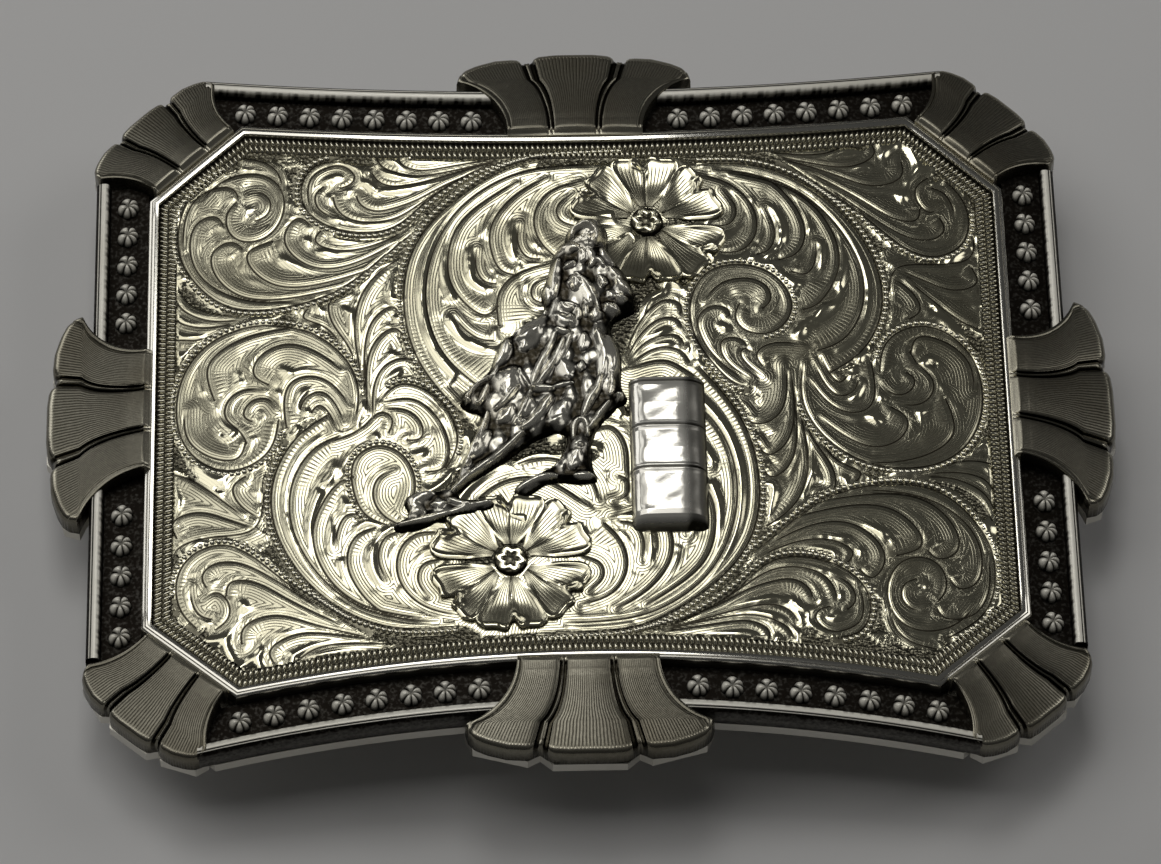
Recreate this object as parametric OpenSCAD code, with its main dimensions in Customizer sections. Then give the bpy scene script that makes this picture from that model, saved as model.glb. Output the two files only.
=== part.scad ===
// Western trophy belt buckle, face up: a bent back plate carries an engraved panel in a polished
// bezel, rails of berries, fluted fans, a barrel racer and a barrel. A belt bail and a hook stand
// on the plate's back, and the buckle rests on them. Heights called t are above the plate's back.

/* [Panel] */
// Width of the panel across its bezel
panel_w = 88; // [84:0.5:92]
// Height of the panel at its corners
panel_h = 67.6; // [64:0.4:71]
// How far the cut corners reach along the top and bottom edges
corner_x = 9.5; // [8:0.5:11]
// How far the cut corners reach down the sides
corner_y = 8.5; // [7.5:0.5:10]
// How far the top and bottom edges curve in at the middle
edge_bow = 2.7; // [1.5:0.1:4]
// Width of the polished bezel
bezel_w = 1.1; // [0.8:0.1:1.5]

/* [Rails] */
// Width of a rail of berries outside the bezel
rail_w = 5.5; // [4.8:0.1:5.8]
// Width of the polished ridge along a rail's outer edge
ridge_w = 1.1; // [0.8:0.1:2]
// Diameter of a berry
berry_d = 2.3; // [1.8:0.1:2.6]
// Height of a berry's middle above the rails' floor
berry_lift = 0.7; // [0:0.1:1]
// Berries in a rail along the top or bottom
long_count = 8; // [6:1:8]
// Berries in a rail at the side
short_count = 5; // [3:1:5]

/* [Fans] */
// Length of a side fan from its foot to its tip
fan_len = 10.7; // [9:0.1:12]
// Half the width of a side fan at its foot
fan_foot = 7; // [6:0.5:8]
// Half the width of a side fan at its widest
fan_half = 12.2; // [11:0.1:13]
// Length of a corner fan
corner_fan_len = 9; // [8:0.1:9.5]
// Half the width of a corner fan at its foot
corner_fan_foot = 5.3; // [4.5:0.1:6]
// Half the width of a corner fan at its widest
corner_fan_half = 8.1; // [7:0.1:8.5]
// How much lower a fan's tip lies than its foot
fan_dip = 1.2; // [0.6:0.1:1.5]

/* [Thickness] */
// Radius that the whole buckle is bent to
bend_r = 327; // [280:1:400]
// Thickness of the back plate
plate_t = 1.3; // [1:0.1:1.6]
// Top of the rails' floor
floor_t = 2.5; // [2.2:0.1:2.7]
// Top of the panel's ground
panel_t = 3.3; // [3:0.1:3.6]
// Top of the rails' ridge
ridge_t = 3.9; // [3.6:0.1:4.2]
// Top of the bezel
bezel_t = 4.1; // [3.8:0.1:4.4]
// Top of the fans at their feet
fan_t = 4.7; // [4.5:0.1:5]

/* [Back] */
// Height of the plate's back above the surface that the buckle rests on, at the middle
back_z = 9.5; // [9:0.1:11]
// Width between the legs of the bail, for a 38 mm belt
bail_gap = 40; // [39:1:44]
// Diameter of the bail's wire
bail_d = 2.6; // [2.2:0.1:3]
// Distance of the bail from the middle
bail_x = 30; // [27:1:33]
// Diameter of the hook's post
hook_d = 4; // [3.5:0.1:4.5]
// Distance of the hook's tip from the middle
hook_x = 37; // [34:1:38]
// Outward lean of the hook
hook_lean = 8; // [6:1:15]

/* [Hidden] */
$fn = 96;

gap = 0.03;                  // between pieces that lie on each other
bend_fn = 360;               // steps of the cylinder that the buckle is bent around
bow_steps = 12;              // steps of half a hollow edge
flank_steps = 6;             // steps of a fan's hollow flank
tall = 60;                   // taller and wider than any piece
half_w = panel_w / 2;
half_h = panel_h / 2;
bend_z = back_z - bend_r;    // height of the axis that the buckle is bent around

// The cut corners and the hollow edges of the panel
flat_x = half_w - corner_x;
cut_n = [corner_y, corner_x] / norm([corner_x, corner_y]);
cut_d = cut_n * [flat_x, half_h];
bow_r = (flat_x * flat_x + edge_bow * edge_bow) / (2 * edge_bow);
bow_y = half_h - edge_bow + bow_r;

// The lines that the berries stand on, and their spacing
berry_line = (rail_w - ridge_w) / 2;
long_first = 10.7;
long_pitch = 3.35;
short_first = 11.4;
short_pitch = 3.5;

// The fans: a name, the foot's place, the turn, and the length, foot and widest half width
foot_y = half_h - edge_bow - 0.4;
foot_x = half_w - 0.6;
corner_turn = atan2(cut_n[1], cut_n[0]) - 90;
side_size = [fan_len, fan_foot, fan_half];
corner_size = [corner_fan_len, corner_fan_foot, corner_fan_half];
corner_mid = [(half_w + flat_x) / 2, half_h - corner_y / 2] + cut_n * gap;
FANS = [
    ["fan_top", [0, foot_y], 0, side_size],
    ["fan_bottom", [0, -foot_y], 180, side_size],
    ["fan_left", [-foot_x, 0], 90, side_size],
    ["fan_right", [foot_x, 0], -90, side_size],
    ["fan_top_left", [-corner_mid[0], corner_mid[1]], -corner_turn, corner_size],
    ["fan_top_right", corner_mid, corner_turn, corner_size],
    ["fan_bottom_left", -corner_mid, 180 + corner_turn, corner_size],
    ["fan_bottom_right", [corner_mid[0], -corner_mid[1]], 180 - corner_turn, corner_size]
];

// The rails: a name, the side of the middle in x and y, and whether it lies along the top or bottom
RAILS = [
    ["rail_top_left", -1, 1, true], ["rail_top_right", 1, 1, true],
    ["rail_bottom_left", -1, -1, true], ["rail_bottom_right", 1, -1, true],
    ["rail_left_upper", -1, 1, false], ["rail_left_lower", -1, -1, false],
    ["rail_right_upper", 1, 1, false], ["rail_right_lower", 1, -1, false]
];

// The figure's rounded masses: both ends and radii in the plane, and how high the middle stands
LIMBS = [
    // x0, y0, r0, x1, y1, r1, h
    [0.5, 18.3, 1.5, 0.4, 17.2, 1.1, 1.0],       // hat and head
    [-1.2, 15.2, 1.6, 1.2, 15.4, 1.6, 0.7],      // shoulders
    [-0.4, 14.4, 2.3, -0.6, 10.2, 2.0, 0.6],     // chest
    [-2.4, 14.6, 0.9, -3.1, 11.0, 0.8, 0.9],     // left upper arm
    [2.9, 14.8, 0.9, 4.3, 10.9, 0.9, 0.9],       // right upper arm
    [4.2, 10.6, 0.8, 1.8, 9.0, 0.7, 1.1],        // right forearm
    [-0.3, 12.6, 1.0, 1.2, 8.0, 1.3, 1.5],       // the horse's head
    [0.4, 7.6, 2.0, 2.4, 2.4, 1.6, 0.8],         // neck
    [-3.4, 6.0, 2.8, -6.0, 1.4, 3.4, 0.4],       // flank
    [-1.2, 5.0, 2.6, -1.6, -1.0, 3.0, 0.4],      // chest of the horse
    [-6.8, 0.6, 2.6, -9.4, -5.4, 1.4, 0.5],      // croup
    [-9.4, -5.2, 1.3, -13.0, -10.6, 0.9, 0.5],   // hind leg
    [-4.0, -3.2, 1.4, -9.6, -8.4, 0.9, 0.6],     // second hind leg
    [-9.6, -8.4, 0.8, -14.2, -12.8, 0.7, 0.6],   // its hoof
    [-9.8, 0.4, 0.9, -10.8, -1.2, 0.9, 0.7],     // stirrup and boot
    [0.6, -3.0, 1.3, -0.6, -9.4, 0.8, 0.6],      // foreleg
    [2.8, 1.4, 1.0, 3.6, -1.2, 0.8, 0.8]         // rider's near boot
];

// The barrel: its middle, its lower end, length, radius and how far it stands out of the panel
barrel_x = 8.6;
barrel_y = -16.3;
barrel_len = 17.6;
barrel_r = 5.3;
barrel_h = 2.3;

silver = [0.80, 0.78, 0.70];
bright = [0.86, 0.85, 0.80];
antique = [0.36, 0.35, 0.29];
nickel = [0.66, 0.64, 0.58];

// Height of a bent surface at a distance x from the middle
function skin(x, t) = bend_z + sqrt(pow(bend_r + t, 2) - x * x);

// Half height of the hollow edge grown by g, at a distance x from the middle
function bow_edge(x, g) = bow_y - sqrt(pow(bow_r - g, 2) - x * x);

// The panel's outline grown by g: an oblong with cut corners and hollow top and bottom edges
module outline(g) {
    w = half_w + g;
    cut_y = (cut_d + g - cut_n[0] * w) / cut_n[1];
    end_x = (cut_d + g - cut_n[1] * (half_h + g)) / cut_n[0];
    top = [for (i = [-bow_steps : bow_steps]) [end_x * i / bow_steps, bow_edge(end_x * i / bow_steps, g)]];
    polygon(concat([[-w, -cut_y], [-w, cut_y]], top, [[w, cut_y], [w, -cut_y]], -top));
}

// A fan's outline grown by g, its foot on the X axis: three lobes, two notches, hollow flanks
module fan_outline(size, g = 0) {
    len = size[0];
    foot = size[1];
    half = size[2];
    rise = 0.67 * len;
    flank = half - foot;
    flank_r = (flank * flank + rise * rise) / (2 * flank);
    sweep = atan2(rise, flank_r - flank);
    hollow = [
        for (i = [0 : flank_steps - 1])
            [foot + g + flank_r * (1 - cos(sweep * i / flank_steps)), flank_r * sin(sweep * i / flank_steps)]
    ];
    lobes = [
        [half + g, rise], [0.94 * half + g, 0.82 * len + g], [0.5 * half, 0.96 * len + g],
        [0.4 * half, 0.9 * len + g], [0.3 * half, len + g]
    ];
    side = concat([[foot + g, -g]], hollow, lobes);
    last = len(side) - 1;
    polygon(concat(side, [for (i = [last : -1 : 0]) [-side[i][0], side[i][1]]]));
}

// Puts a drawing or a solid at a fan's place
module at_fan(fan) {
    translate([fan[1][0], fan[1][1], 0]) rotate([0, 0, fan[2]]) children();
}

// The solid cylinder under a bent surface
module under(t) {
    translate([0, 0, bend_z]) rotate([90, 0, 0])
        cylinder(r = bend_r + t, h = 4 * tall, center = true, $fn = bend_fn);
}

// A bent sheet of the drawn shape, from t0 to t1
module sheet(t0, t1) {
    difference() {
        intersection() {
            linear_extrude(height = tall) children();
            under(t1);
        }
        under(t0);
    }
}

// Stands a piece that was made around the origin on the bent sheet at a place x, y
module on_sheet(x, y, t) {
    translate([0, y, bend_z]) rotate([0, asin(x / bend_r), 0])
        translate([0, 0, bend_r + t]) children();
}

module back_plate() {
    color(nickel) union() {
        sheet(0, plate_t) outline(rail_w);
        for (f = FANS) sheet(0, plate_t) at_fan(f) fan_outline(f[3]);
    }
}

module bezel() {
    color(bright) sheet(plate_t + gap, bezel_t) difference() {
        outline(0);
        outline(-bezel_w);
        for (f = FANS) at_fan(f) fan_outline(f[3], gap);
    }
}

module engraved_panel() {
    color(silver) sheet(plate_t + gap, panel_t) outline(-bezel_w - gap);
}

// A fan: the sheet under a sloping face, with a double groove between its lobes
module fan(f) {
    len = f[3][0];
    half = f[3][2];
    groove_w = 0.5;
    groove_depth = 0.6;
    slope = atan(fan_dip / len);
    color(antique) difference() {
        sheet(plate_t + gap, fan_t + 0.1) at_fan(f) fan_outline(f[3]);
        on_sheet(f[1][0], f[1][1], fan_t) rotate([0, 0, f[2]]) rotate([-slope, 0, 0]) {
            translate([-tall / 2, -tall / 2, 0]) cube([tall, tall, tall]);
            for (s = [-1, 1]) translate([s * 0.2 * half, 0, 0])
                rotate([0, 0, -s * atan(0.2 * half / len)])
                    translate([-groove_w / 2, -1, -groove_depth])
                        cube([groove_w, len + 2, groove_depth + 1]);
        }
    }
}

// A left-hand rail: its floor, the ridge along its outer edge, and the berries. The corner's
// own direction parts the plane between the rail along the top or bottom and the one at the side
module left_rail(up, along_top) {
    module span() {
        difference() {
            intersection() {
                outline(rail_w);
                polygon([
                    [0, 0], along_top ? [0, up * tall] : [-tall, 0],
                    2 * [-corner_mid[0], up * corner_mid[1]]
                ]);
            }
            outline(gap);
            for (f = FANS) at_fan(f) fan_outline(f[3], gap);
        }
    }
    color(antique) {
        sheet(plate_t + gap, floor_t) span();
        for (i = [0 : (along_top ? long_count : short_count) - 1]) {
            along = along_top ? long_first + i * long_pitch : short_first + i * short_pitch;
            place = along_top ? [along, bow_edge(along, berry_line)] : [half_w + berry_line, along];
            on_sheet(-place[0], up * place[1], floor_t + berry_lift) sphere(d = berry_d, $fn = 32);
        }
    }
    color(bright) sheet(plate_t + gap, ridge_t) difference() {
        span();
        outline(rail_w - ridge_w);
    }
}

module rail(r) {
    mirror([r[1] > 0 ? 1 : 0, 0, 0]) left_rail(r[2], r[3]);
}

// The barrel racer: rounded masses over a thin cut-out, standing on the panel's ground
module horse_and_rider() {
    cut_t = 0.7;
    limb_fn = 16;
    strips = [
        // x0, y0, x1, y1, half width
        [-18.6, -14.9, -13.4, -13.6, 0.8],
        [-13.4, -13.6, -10.6, -12.9, 0.6],
        [-6.0, -11.9, -2.0, -10.4, 0.6],
        [-2.0, -10.4, 1.0, -10.6, 0.5]
    ];
    color(bright) difference() {
        on_sheet(0, 0, panel_t) {
            for (m = LIMBS) hull() {
                translate([m[0], m[1], m[6]]) sphere(r = m[2], $fn = limb_fn);
                translate([m[3], m[4], m[6]]) sphere(r = m[5], $fn = limb_fn);
            }
            for (s = strips) hull() {
                translate([s[0], s[1], 0]) cylinder(r = s[4], h = cut_t, $fn = limb_fn);
                translate([s[2], s[3], 0]) cylinder(r = s[4], h = cut_t, $fn = limb_fn);
            }
        }
        under(panel_t + gap);
    }
}

// The barrel: the front of a turned drum with two hoops, cut flat along the panel
module barrel() {
    drum = [
        // radius, height up the drum
        [barrel_r - 0.5, 0], [barrel_r - 0.1, 0.4], [barrel_r, 1],
        [barrel_r - 0.15, 1.3], [barrel_r - 0.1, barrel_len * 0.36], [barrel_r + 0.08, barrel_len * 0.37],
        [barrel_r + 0.08, barrel_len * 0.39], [barrel_r - 0.1, barrel_len * 0.4],
        [barrel_r - 0.1, barrel_len * 0.64], [barrel_r + 0.08, barrel_len * 0.65],
        [barrel_r + 0.08, barrel_len * 0.67], [barrel_r - 0.1, barrel_len * 0.68],
        [barrel_r - 0.15, barrel_len - 1.3], [barrel_r, barrel_len - 1],
        [barrel_r, barrel_len - 0.3], [barrel_r - 0.3, barrel_len]
    ];
    color(bright) difference() {
        on_sheet(barrel_x, barrel_y, panel_t) translate([0, 0, barrel_h - barrel_r]) rotate([-90, 0, 0])
            rotate_extrude() polygon(concat([[0, 0]], drum, [[0, barrel_len]]));
        under(panel_t + gap);
    }
}

// The bail: a bar that the belt's end is folded around, on two bent legs with round feet
module bail() {
    wire_r = bail_d / 2;
    bend = 2.4;
    bar = bail_gap / 2 - bend + wire_r;
    foot_r = 2.4;
    foot_t = 0.8;
    color(nickel) intersection() {
        under(-gap);
        translate([-bail_x, 0, wire_r]) {
            rotate([90, 0, 0]) cylinder(r = wire_r, h = 2 * bar, center = true);
            for (s = [0, 1]) mirror([0, s, 0]) translate([0, bar, 0]) {
                translate([0, 0, bend]) rotate([90, 0, 90]) rotate([0, 0, -90])
                    rotate_extrude(angle = 90) translate([bend, 0]) circle(r = wire_r);
                translate([0, bend, bend]) cylinder(r = wire_r, h = back_z);
                translate([0, bend, skin(bail_x, 0) - foot_t - wire_r]) cylinder(r = foot_r, h = back_z);
            }
        }
    }
}

// The hook: a leaning post with a round tip, square on a collar that is cut to the plate's back
module hook() {
    post_r = hook_d / 2;
    collar_r = 3;
    collar_t = 1.2;
    reach = (skin(hook_x, 0) - post_r) / cos(hook_lean);
    color(nickel) intersection() {
        under(-gap);
        translate([hook_x, 0, post_r]) {
            sphere(r = post_r);
            rotate([0, -hook_lean, 0]) {
                cylinder(r = post_r, h = reach);
                translate([0, 0, reach - collar_t]) cylinder(r = collar_r, h = 3 * collar_t);
            }
        }
    }
}

back_plate();
bezel();
engraved_panel();
horse_and_rider();
barrel();
bail();
hook();
for (f = FANS) fan(f);
for (r = RAILS) rail(r);
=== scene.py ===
"""Looks of a western trophy belt buckle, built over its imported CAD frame.

The back plate, the belt bail, the hook and the panel's ground are CAD nodes with better finishes. The
bezel, rails, fans, barrel racer and barrel replace their plain solids, and the scrollwork, beaded lines,
flowers and milled border lie on the panel. Lengths are in millimetres until a mesh is written, in metres.
"""

import logging
import math
from dataclasses import dataclass, field
from enum import Enum
from typing import Any, Sequence

import bpy
import numpy as np
from mathutils import Matrix, Vector

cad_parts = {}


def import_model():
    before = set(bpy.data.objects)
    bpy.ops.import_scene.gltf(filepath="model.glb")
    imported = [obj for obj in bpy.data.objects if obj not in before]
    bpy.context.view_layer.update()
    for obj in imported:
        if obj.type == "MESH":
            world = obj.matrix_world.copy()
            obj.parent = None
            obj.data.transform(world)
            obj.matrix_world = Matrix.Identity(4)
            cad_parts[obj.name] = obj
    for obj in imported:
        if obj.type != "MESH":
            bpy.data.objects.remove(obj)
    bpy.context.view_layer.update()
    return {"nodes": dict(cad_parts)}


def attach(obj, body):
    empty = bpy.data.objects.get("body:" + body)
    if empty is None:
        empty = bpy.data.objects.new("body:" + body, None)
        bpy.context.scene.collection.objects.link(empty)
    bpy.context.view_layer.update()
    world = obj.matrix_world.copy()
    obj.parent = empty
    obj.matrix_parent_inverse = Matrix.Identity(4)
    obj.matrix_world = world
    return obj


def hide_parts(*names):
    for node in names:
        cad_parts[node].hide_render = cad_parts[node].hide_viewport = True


Array = np.ndarray
Number = Array | float
Steps = tuple[int, int, int]
Point = tuple[float, float]
Points = tuple[Point, ...]
Point3 = tuple[float, float, float]
Colour = tuple[float, float, float]
Material = bpy.types.Material

MM = 0.001
BODY = "root"
NOWHERE = 9.0  # a distance on the panel that is further than any leaf is wide

log = logging.getLogger("buckle")


# Shared shape of the buckle


@dataclass(frozen=True)
class Form:
    """The buckle's common shape: a hollow-edged oblong with cut corners, bent around an axis along Y.

    The panel's edge gives the plan. Heights are above the plate's back: the plate's own face, the rails'
    channel, the panel's ground and the fans' face.
    """

    half_w: float = 44.0
    half_h: float = 33.8
    corner_x: float = 9.5
    corner_y: float = 8.5
    edge_bow: float = 2.7
    bend_r: float = 327.0
    back_z: float = 9.5
    plate_t: float = 1.3
    floor_t: float = 2.5
    panel_t: float = 3.3
    fan_t: float = 4.7

    @property
    def flat_x(self) -> float:
        """Half the length of the top edge between its cut corners."""
        return self.half_w - self.corner_x

    @property
    def cut(self) -> tuple[Array, float]:
        """Normal of a cut corner, and its distance from the middle."""
        normal = np.array([self.corner_y, self.corner_x]) / math.hypot(self.corner_x, self.corner_y)
        return normal, float(normal @ [self.flat_x, self.half_h])

    @property
    def bow(self) -> tuple[float, float]:
        """Radius of the hollow edge, and the height of its centre."""
        radius = (self.flat_x**2 + self.edge_bow**2) / (2 * self.edge_bow)
        return radius, self.half_h - self.edge_bow + radius

    def skin(self, x: Array, t: Number) -> Array:
        """Height of the surface that is t above the plate's back, at a distance x from the middle."""
        return self.back_z - self.bend_r + np.sqrt((self.bend_r + t) ** 2 - np.square(x))

    def lay(self, x: Array, y: Array, t: Number) -> Array:
        """Points at a place in the plan and a height above the plate's back."""
        return np.stack([x, y, self.skin(x, t)], axis=-1)

    def bow_edge(self, x: Number, g: Number) -> Array:
        """Half height of the hollow edge grown by g, at a distance x from the middle."""
        radius, centre = self.bow
        return centre - np.sqrt((radius - g) ** 2 - np.square(x))

    def holds(self, x: Array, y: Array, g: float) -> Array:
        """Whether places lie inside the outline grown by g.

        Args:
            x: Places across the plan.
            y: Places up the plan.
            g: How far outside the panel's edge the outline runs.

        Returns:
            Yes or no for each place.
        """
        normal, reach = self.cut
        u, v = np.abs(x), np.abs(y)
        uncut = normal[0] * u + normal[1] * v < reach + g
        return (u < self.half_w + g) & (v < self.bow_edge(u, g)) & uncut

    def outline(self, g: float, steps: Steps) -> Array:
        """The outline grown by g, anticlockwise from the lower end of the right side.

        Half of it is worked out and turned half a turn for the rest, so outlines of any g match point by
        point.

        Args:
            g: How far outside the panel's edge the line runs.
            steps: Steps along a side, a cut corner and a hollow edge.

        Returns:
            A closed line as an array of points, without repeating the first one.
        """
        side, cut, bow = steps
        normal, reach = self.cut
        wide = self.half_w + g
        cut_y = (reach + g - normal[0] * wide) / normal[1]
        top = self.half_h + g
        # The cut corner and the hollow edge each end on the other, which a few rounds settle.
        for _ in range(4):
            end_x = (reach + g - normal[1] * top) / normal[0]
            top = float(self.bow_edge(end_x, g))
        a = np.linspace(0, 1, side, endpoint=False)
        b = np.linspace(0, 1, cut, endpoint=False)
        c = end_x * (1 - 2 * np.linspace(0, 1, bow, endpoint=False))
        half = np.concatenate([
            np.stack([np.full(side, wide), cut_y * (2 * a - 1)], axis=-1),
            np.stack([wide + (end_x - wide) * b, cut_y + (top - cut_y) * b], axis=-1),
            np.stack([c, self.bow_edge(c, g)], axis=-1),
            np.stack([-end_x + (end_x - wide) * b, top + (cut_y - top) * b], axis=-1),
        ])
        return np.concatenate([half, -half])


FORM = Form()


def rise(a: Array, low: float, high: float) -> Array:
    """Goes smoothly from 0 at low to 1 at high: three squares less two cubes of the way between them."""
    way = np.clip((a - low) / (high - low), 0, 1)
    return way * way * (3 - 2 * way)


def bell(a: Array, middle: float, width: float) -> Array:
    """A bell curve of height 1 around the middle."""
    return np.exp(-np.square((a - middle) / width))


def smooth_line(points: Sequence[Point], count: int) -> Array:
    """A natural cubic spline through the points, with evenly spaced results.

    The knots are spaced by the square roots of the chords, and the second derivatives solve the usual
    three-term equations with none at the ends.

    Args:
        points: The places that the line passes through.
        count: How many points come back.

    Returns:
        An array of count points.
    """
    fine_steps = 30
    p = np.asarray(points, float)
    gap = np.sqrt(np.linalg.norm(np.diff(p, axis=0), axis=1))
    knot = np.concatenate([[0.0], np.cumsum(gap)])
    size = len(p)
    matrix = np.eye(size)
    right = np.zeros((size, 2))
    inner = np.arange(1, size - 1)
    matrix[inner, inner - 1] = gap[:-1]
    matrix[inner, inner] = 2 * (gap[:-1] + gap[1:])
    matrix[inner, inner + 1] = gap[1:]
    slope = np.diff(p, axis=0) / gap[:, None]
    right[1:-1] = 6 * np.diff(slope, axis=0)
    bend = np.linalg.solve(matrix, right)
    t = np.linspace(0, knot[-1], fine_steps * size)
    k = np.clip(np.searchsorted(knot, t, side="right") - 1, 0, size - 2)
    a = ((knot[k + 1] - t) / gap[k])[:, None]
    b = 1 - a
    h = gap[k][:, None]
    fine = a * p[k] + b * p[k + 1] + ((a**3 - a) * bend[k] + (b**3 - b) * bend[k + 1]) * h * h / 6
    along = np.concatenate([[0.0], np.cumsum(np.linalg.norm(np.diff(fine, axis=0), axis=1))])
    even = np.linspace(0, along[-1], count)
    return np.stack([np.interp(even, along, fine[:, 0]), np.interp(even, along, fine[:, 1])], axis=-1)


def length_of(line: Array) -> Array:
    """Distance along the line at each of its points."""
    return np.concatenate([[0.0], np.cumsum(np.linalg.norm(np.diff(line, axis=0), axis=1))])


PIVOT: Point = (-0.15, 0.3)


def half_turn(line: Array) -> Array:
    """The same line in the other half of the engraving, turned half a turn about the pivot."""
    return 2 * np.array(PIVOT) - line


# Meshes


def cells(rows: int, columns: int, loop: bool = False) -> Array:
    """The four-sided faces between the points of a grid.

    Args:
        rows: Rows of points.
        columns: Columns of points.
        loop: Whether the last row joins the first one.

    Returns:
        Rows by columns of faces, four indices each.
    """
    i, j = np.meshgrid(np.arange(rows if loop else rows - 1), np.arange(columns - 1), indexing="ij")
    here, there = i * columns + j, (i + 1) % rows * columns + j
    return np.stack([here, there, there + 1, here + 1], axis=-1)


@dataclass
class Relief:
    """Surfaces that face upwards, gathered for one mesh, with what the finishes read at each point.

    lay holds how far a point is along and across its own surface and from the middle of a cut line, in
    millimetres. tone holds how dark the metal is, with oxide in a cut, painted shade on the drum and
    painted highlight and shade on the figure, how polished the metal is, how strongly cross ticks show,
    and how stippled it is, each from 0 to 1.
    """

    points: list[Array] = field(default_factory=list)
    faces: list[Array] = field(default_factory=list)
    lays: list[Array] = field(default_factory=list)
    tones: list[Array] = field(default_factory=list)
    count: int = 0

    def grid(self, points: Array, along: Number = 0.0, across: Number = 0.0,
             cut: Number = 0.0, polish: Number = 0.0, tick: Number = 0.0,
             beside: Number = 0.0, stipple: Number = 0.0,
             loop: bool = False, keep: Array | None = None) -> None:
        """Adds a surface given as a grid of points, and turns its faces upwards.

        Args:
            points: Grid of points, rows by columns by 3.
            along: Distance along the surface at each point.
            across: Distance across it.
            cut: How dark the metal is: oxide in a cut, and painted shade where a piece paints it.
            polish: How polished the metal is.
            tick: How strongly cross ticks show.
            beside: Distance from the middle of the nearest cut line, with a sign for its side.
            stipple: How stippled the metal is.
            loop: Whether the last row joins the first one.
            keep: Which faces stay, rows by columns, or None for all.
        """
        rows, columns = points.shape[:2]
        quads = cells(rows, columns, loop)
        if keep is not None:
            quads = quads[keep]
        self.add(points.reshape(-1, 3), quads.reshape(-1, 4),
                 [np.broadcast_to(v, (rows, columns)).ravel()
                  for v in (along, across, beside, cut, polish, tick, stipple)])

    def add(self, points: Array, quads: Array, values: Sequence[Array]) -> None:
        """Adds points and four-sided faces, turned upwards by the sign of their area in the plan.

        Points that no face uses are dropped.

        Args:
            points: Array of points.
            quads: Array of faces, four indices each.
            values: Along, across, beside, cut, polish, tick and stipple at each point.
        """
        used, quads = np.unique(quads, return_inverse=True)
        quads, points, values = quads.reshape(-1, 4), points[used], [value[used] for value in values]
        x, y = points[quads][..., 0], points[quads][..., 1]
        area = np.sum((x[:, 2] - x[:, 0]) * (y[:, 3] - y[:, 1])
                      - (x[:, 3] - x[:, 1]) * (y[:, 2] - y[:, 0]))
        self.points.append(points)
        self.faces.append((quads if area > 0 else quads[:, ::-1]) + self.count)
        self.lays.append(np.stack(values[:3], axis=-1))
        self.tones.append(np.stack(values[3:], axis=-1))
        self.count += len(points)

    def build(self, name: str, material: Material, slot: str, replaces: str | None = None,
              crease: float = 48.0) -> bpy.types.Object:
        """Writes the mesh, gives it its finish, and hands it to the frame.

        Args:
            name: Name of the piece.
            material: Its finish.
            slot: The record's material slot for it, which is not used.
            replaces: The CAD node that it stands for, or None.
            crease: The smallest angle of an edge that stays sharp, in degrees.

        Returns:
            The new object.
        """
        points = np.concatenate(self.points) * MM
        quads = np.concatenate(self.faces)
        mesh = bpy.data.meshes.new(name)
        mesh.vertices.add(len(points))
        mesh.vertices.foreach_set("co", points.astype(np.float32).ravel())
        mesh.loops.add(quads.size)
        mesh.loops.foreach_set("vertex_index", quads.astype(np.int32).ravel())
        mesh.polygons.add(len(quads))
        mesh.polygons.foreach_set("loop_start", np.arange(0, quads.size, 4, dtype=np.int32))
        mesh.polygons.foreach_set("loop_total", np.full(len(quads), 4, dtype=np.int32))
        lay = mesh.attributes.new("lay", "FLOAT_VECTOR", "POINT")
        lay.data.foreach_set("vector", np.concatenate(self.lays).astype(np.float32).ravel())
        tone = mesh.attributes.new("tone", "FLOAT_COLOR", "POINT")
        tone.data.foreach_set("color", np.concatenate(self.tones).astype(np.float32).ravel())
        mesh.update(calc_edges=True)
        mesh.shade_smooth()
        mesh.set_sharp_from_angle(angle=math.radians(crease))
        mesh.materials.append(material)
        piece = bpy.data.objects.new(name, mesh)
        bpy.context.scene.collection.objects.link(piece)
        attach(piece, BODY)
        if replaces:
            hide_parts(replaces)
        log.info("%s: %d faces", name, len(quads))
        return piece


# Finishes


class Value:
    """A socket that carries a number, with the usual arithmetic."""

    def __init__(self, tree: "Recipe", socket: bpy.types.NodeSocket) -> None:
        """Wraps a socket of the recipe's tree."""
        self.tree = tree
        self.socket = socket

    def _with(self, operation: str, *others: "Value | float", clamp: bool = False) -> "Value":
        """A Math node on this value and the others."""
        settings = {"operation": operation, "use_clamp": clamp}
        return self.tree.value("ShaderNodeMath", settings, dict(enumerate((self, *others))))

    def __add__(self, other: "Value | float") -> "Value":
        """Sum."""
        return self._with("ADD", other)

    def __sub__(self, other: "Value | float") -> "Value":
        """Difference."""
        return self._with("SUBTRACT", other)

    def __mul__(self, other: "Value | float") -> "Value":
        """Product."""
        return self._with("MULTIPLY", other)

    __radd__ = __add__
    __rmul__ = __mul__

    def __rsub__(self, other: float) -> "Value":
        """A number less this value."""
        return self.tree.value("ShaderNodeMath", {"operation": "SUBTRACT"}, {0: other, 1: self})

    def wave(self) -> "Value":
        """Sine of this value, brought to the range from 0 to 1."""
        return self._with("SINE") * 0.5 + 0.5

    def most(self, other: "Value | float") -> "Value":
        """The larger of two values."""
        return self._with("MAXIMUM", other)

    def size(self) -> "Value":
        """This value without its sign."""
        return self._with("ABSOLUTE")

    def capped(self) -> "Value":
        """This value kept between 0 and 1."""
        return self._with("ADD", 0.0, clamp=True)

    def between(self, low: float, high: float) -> "Value":
        """Goes smoothly from 0 to 1 as this value goes from low to high."""
        return self.tree.value("ShaderNodeMapRange", {"interpolation_type": "SMOOTHSTEP"},
                               {"Value": self, "From Min": low, "From Max": high}, "Result")


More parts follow.
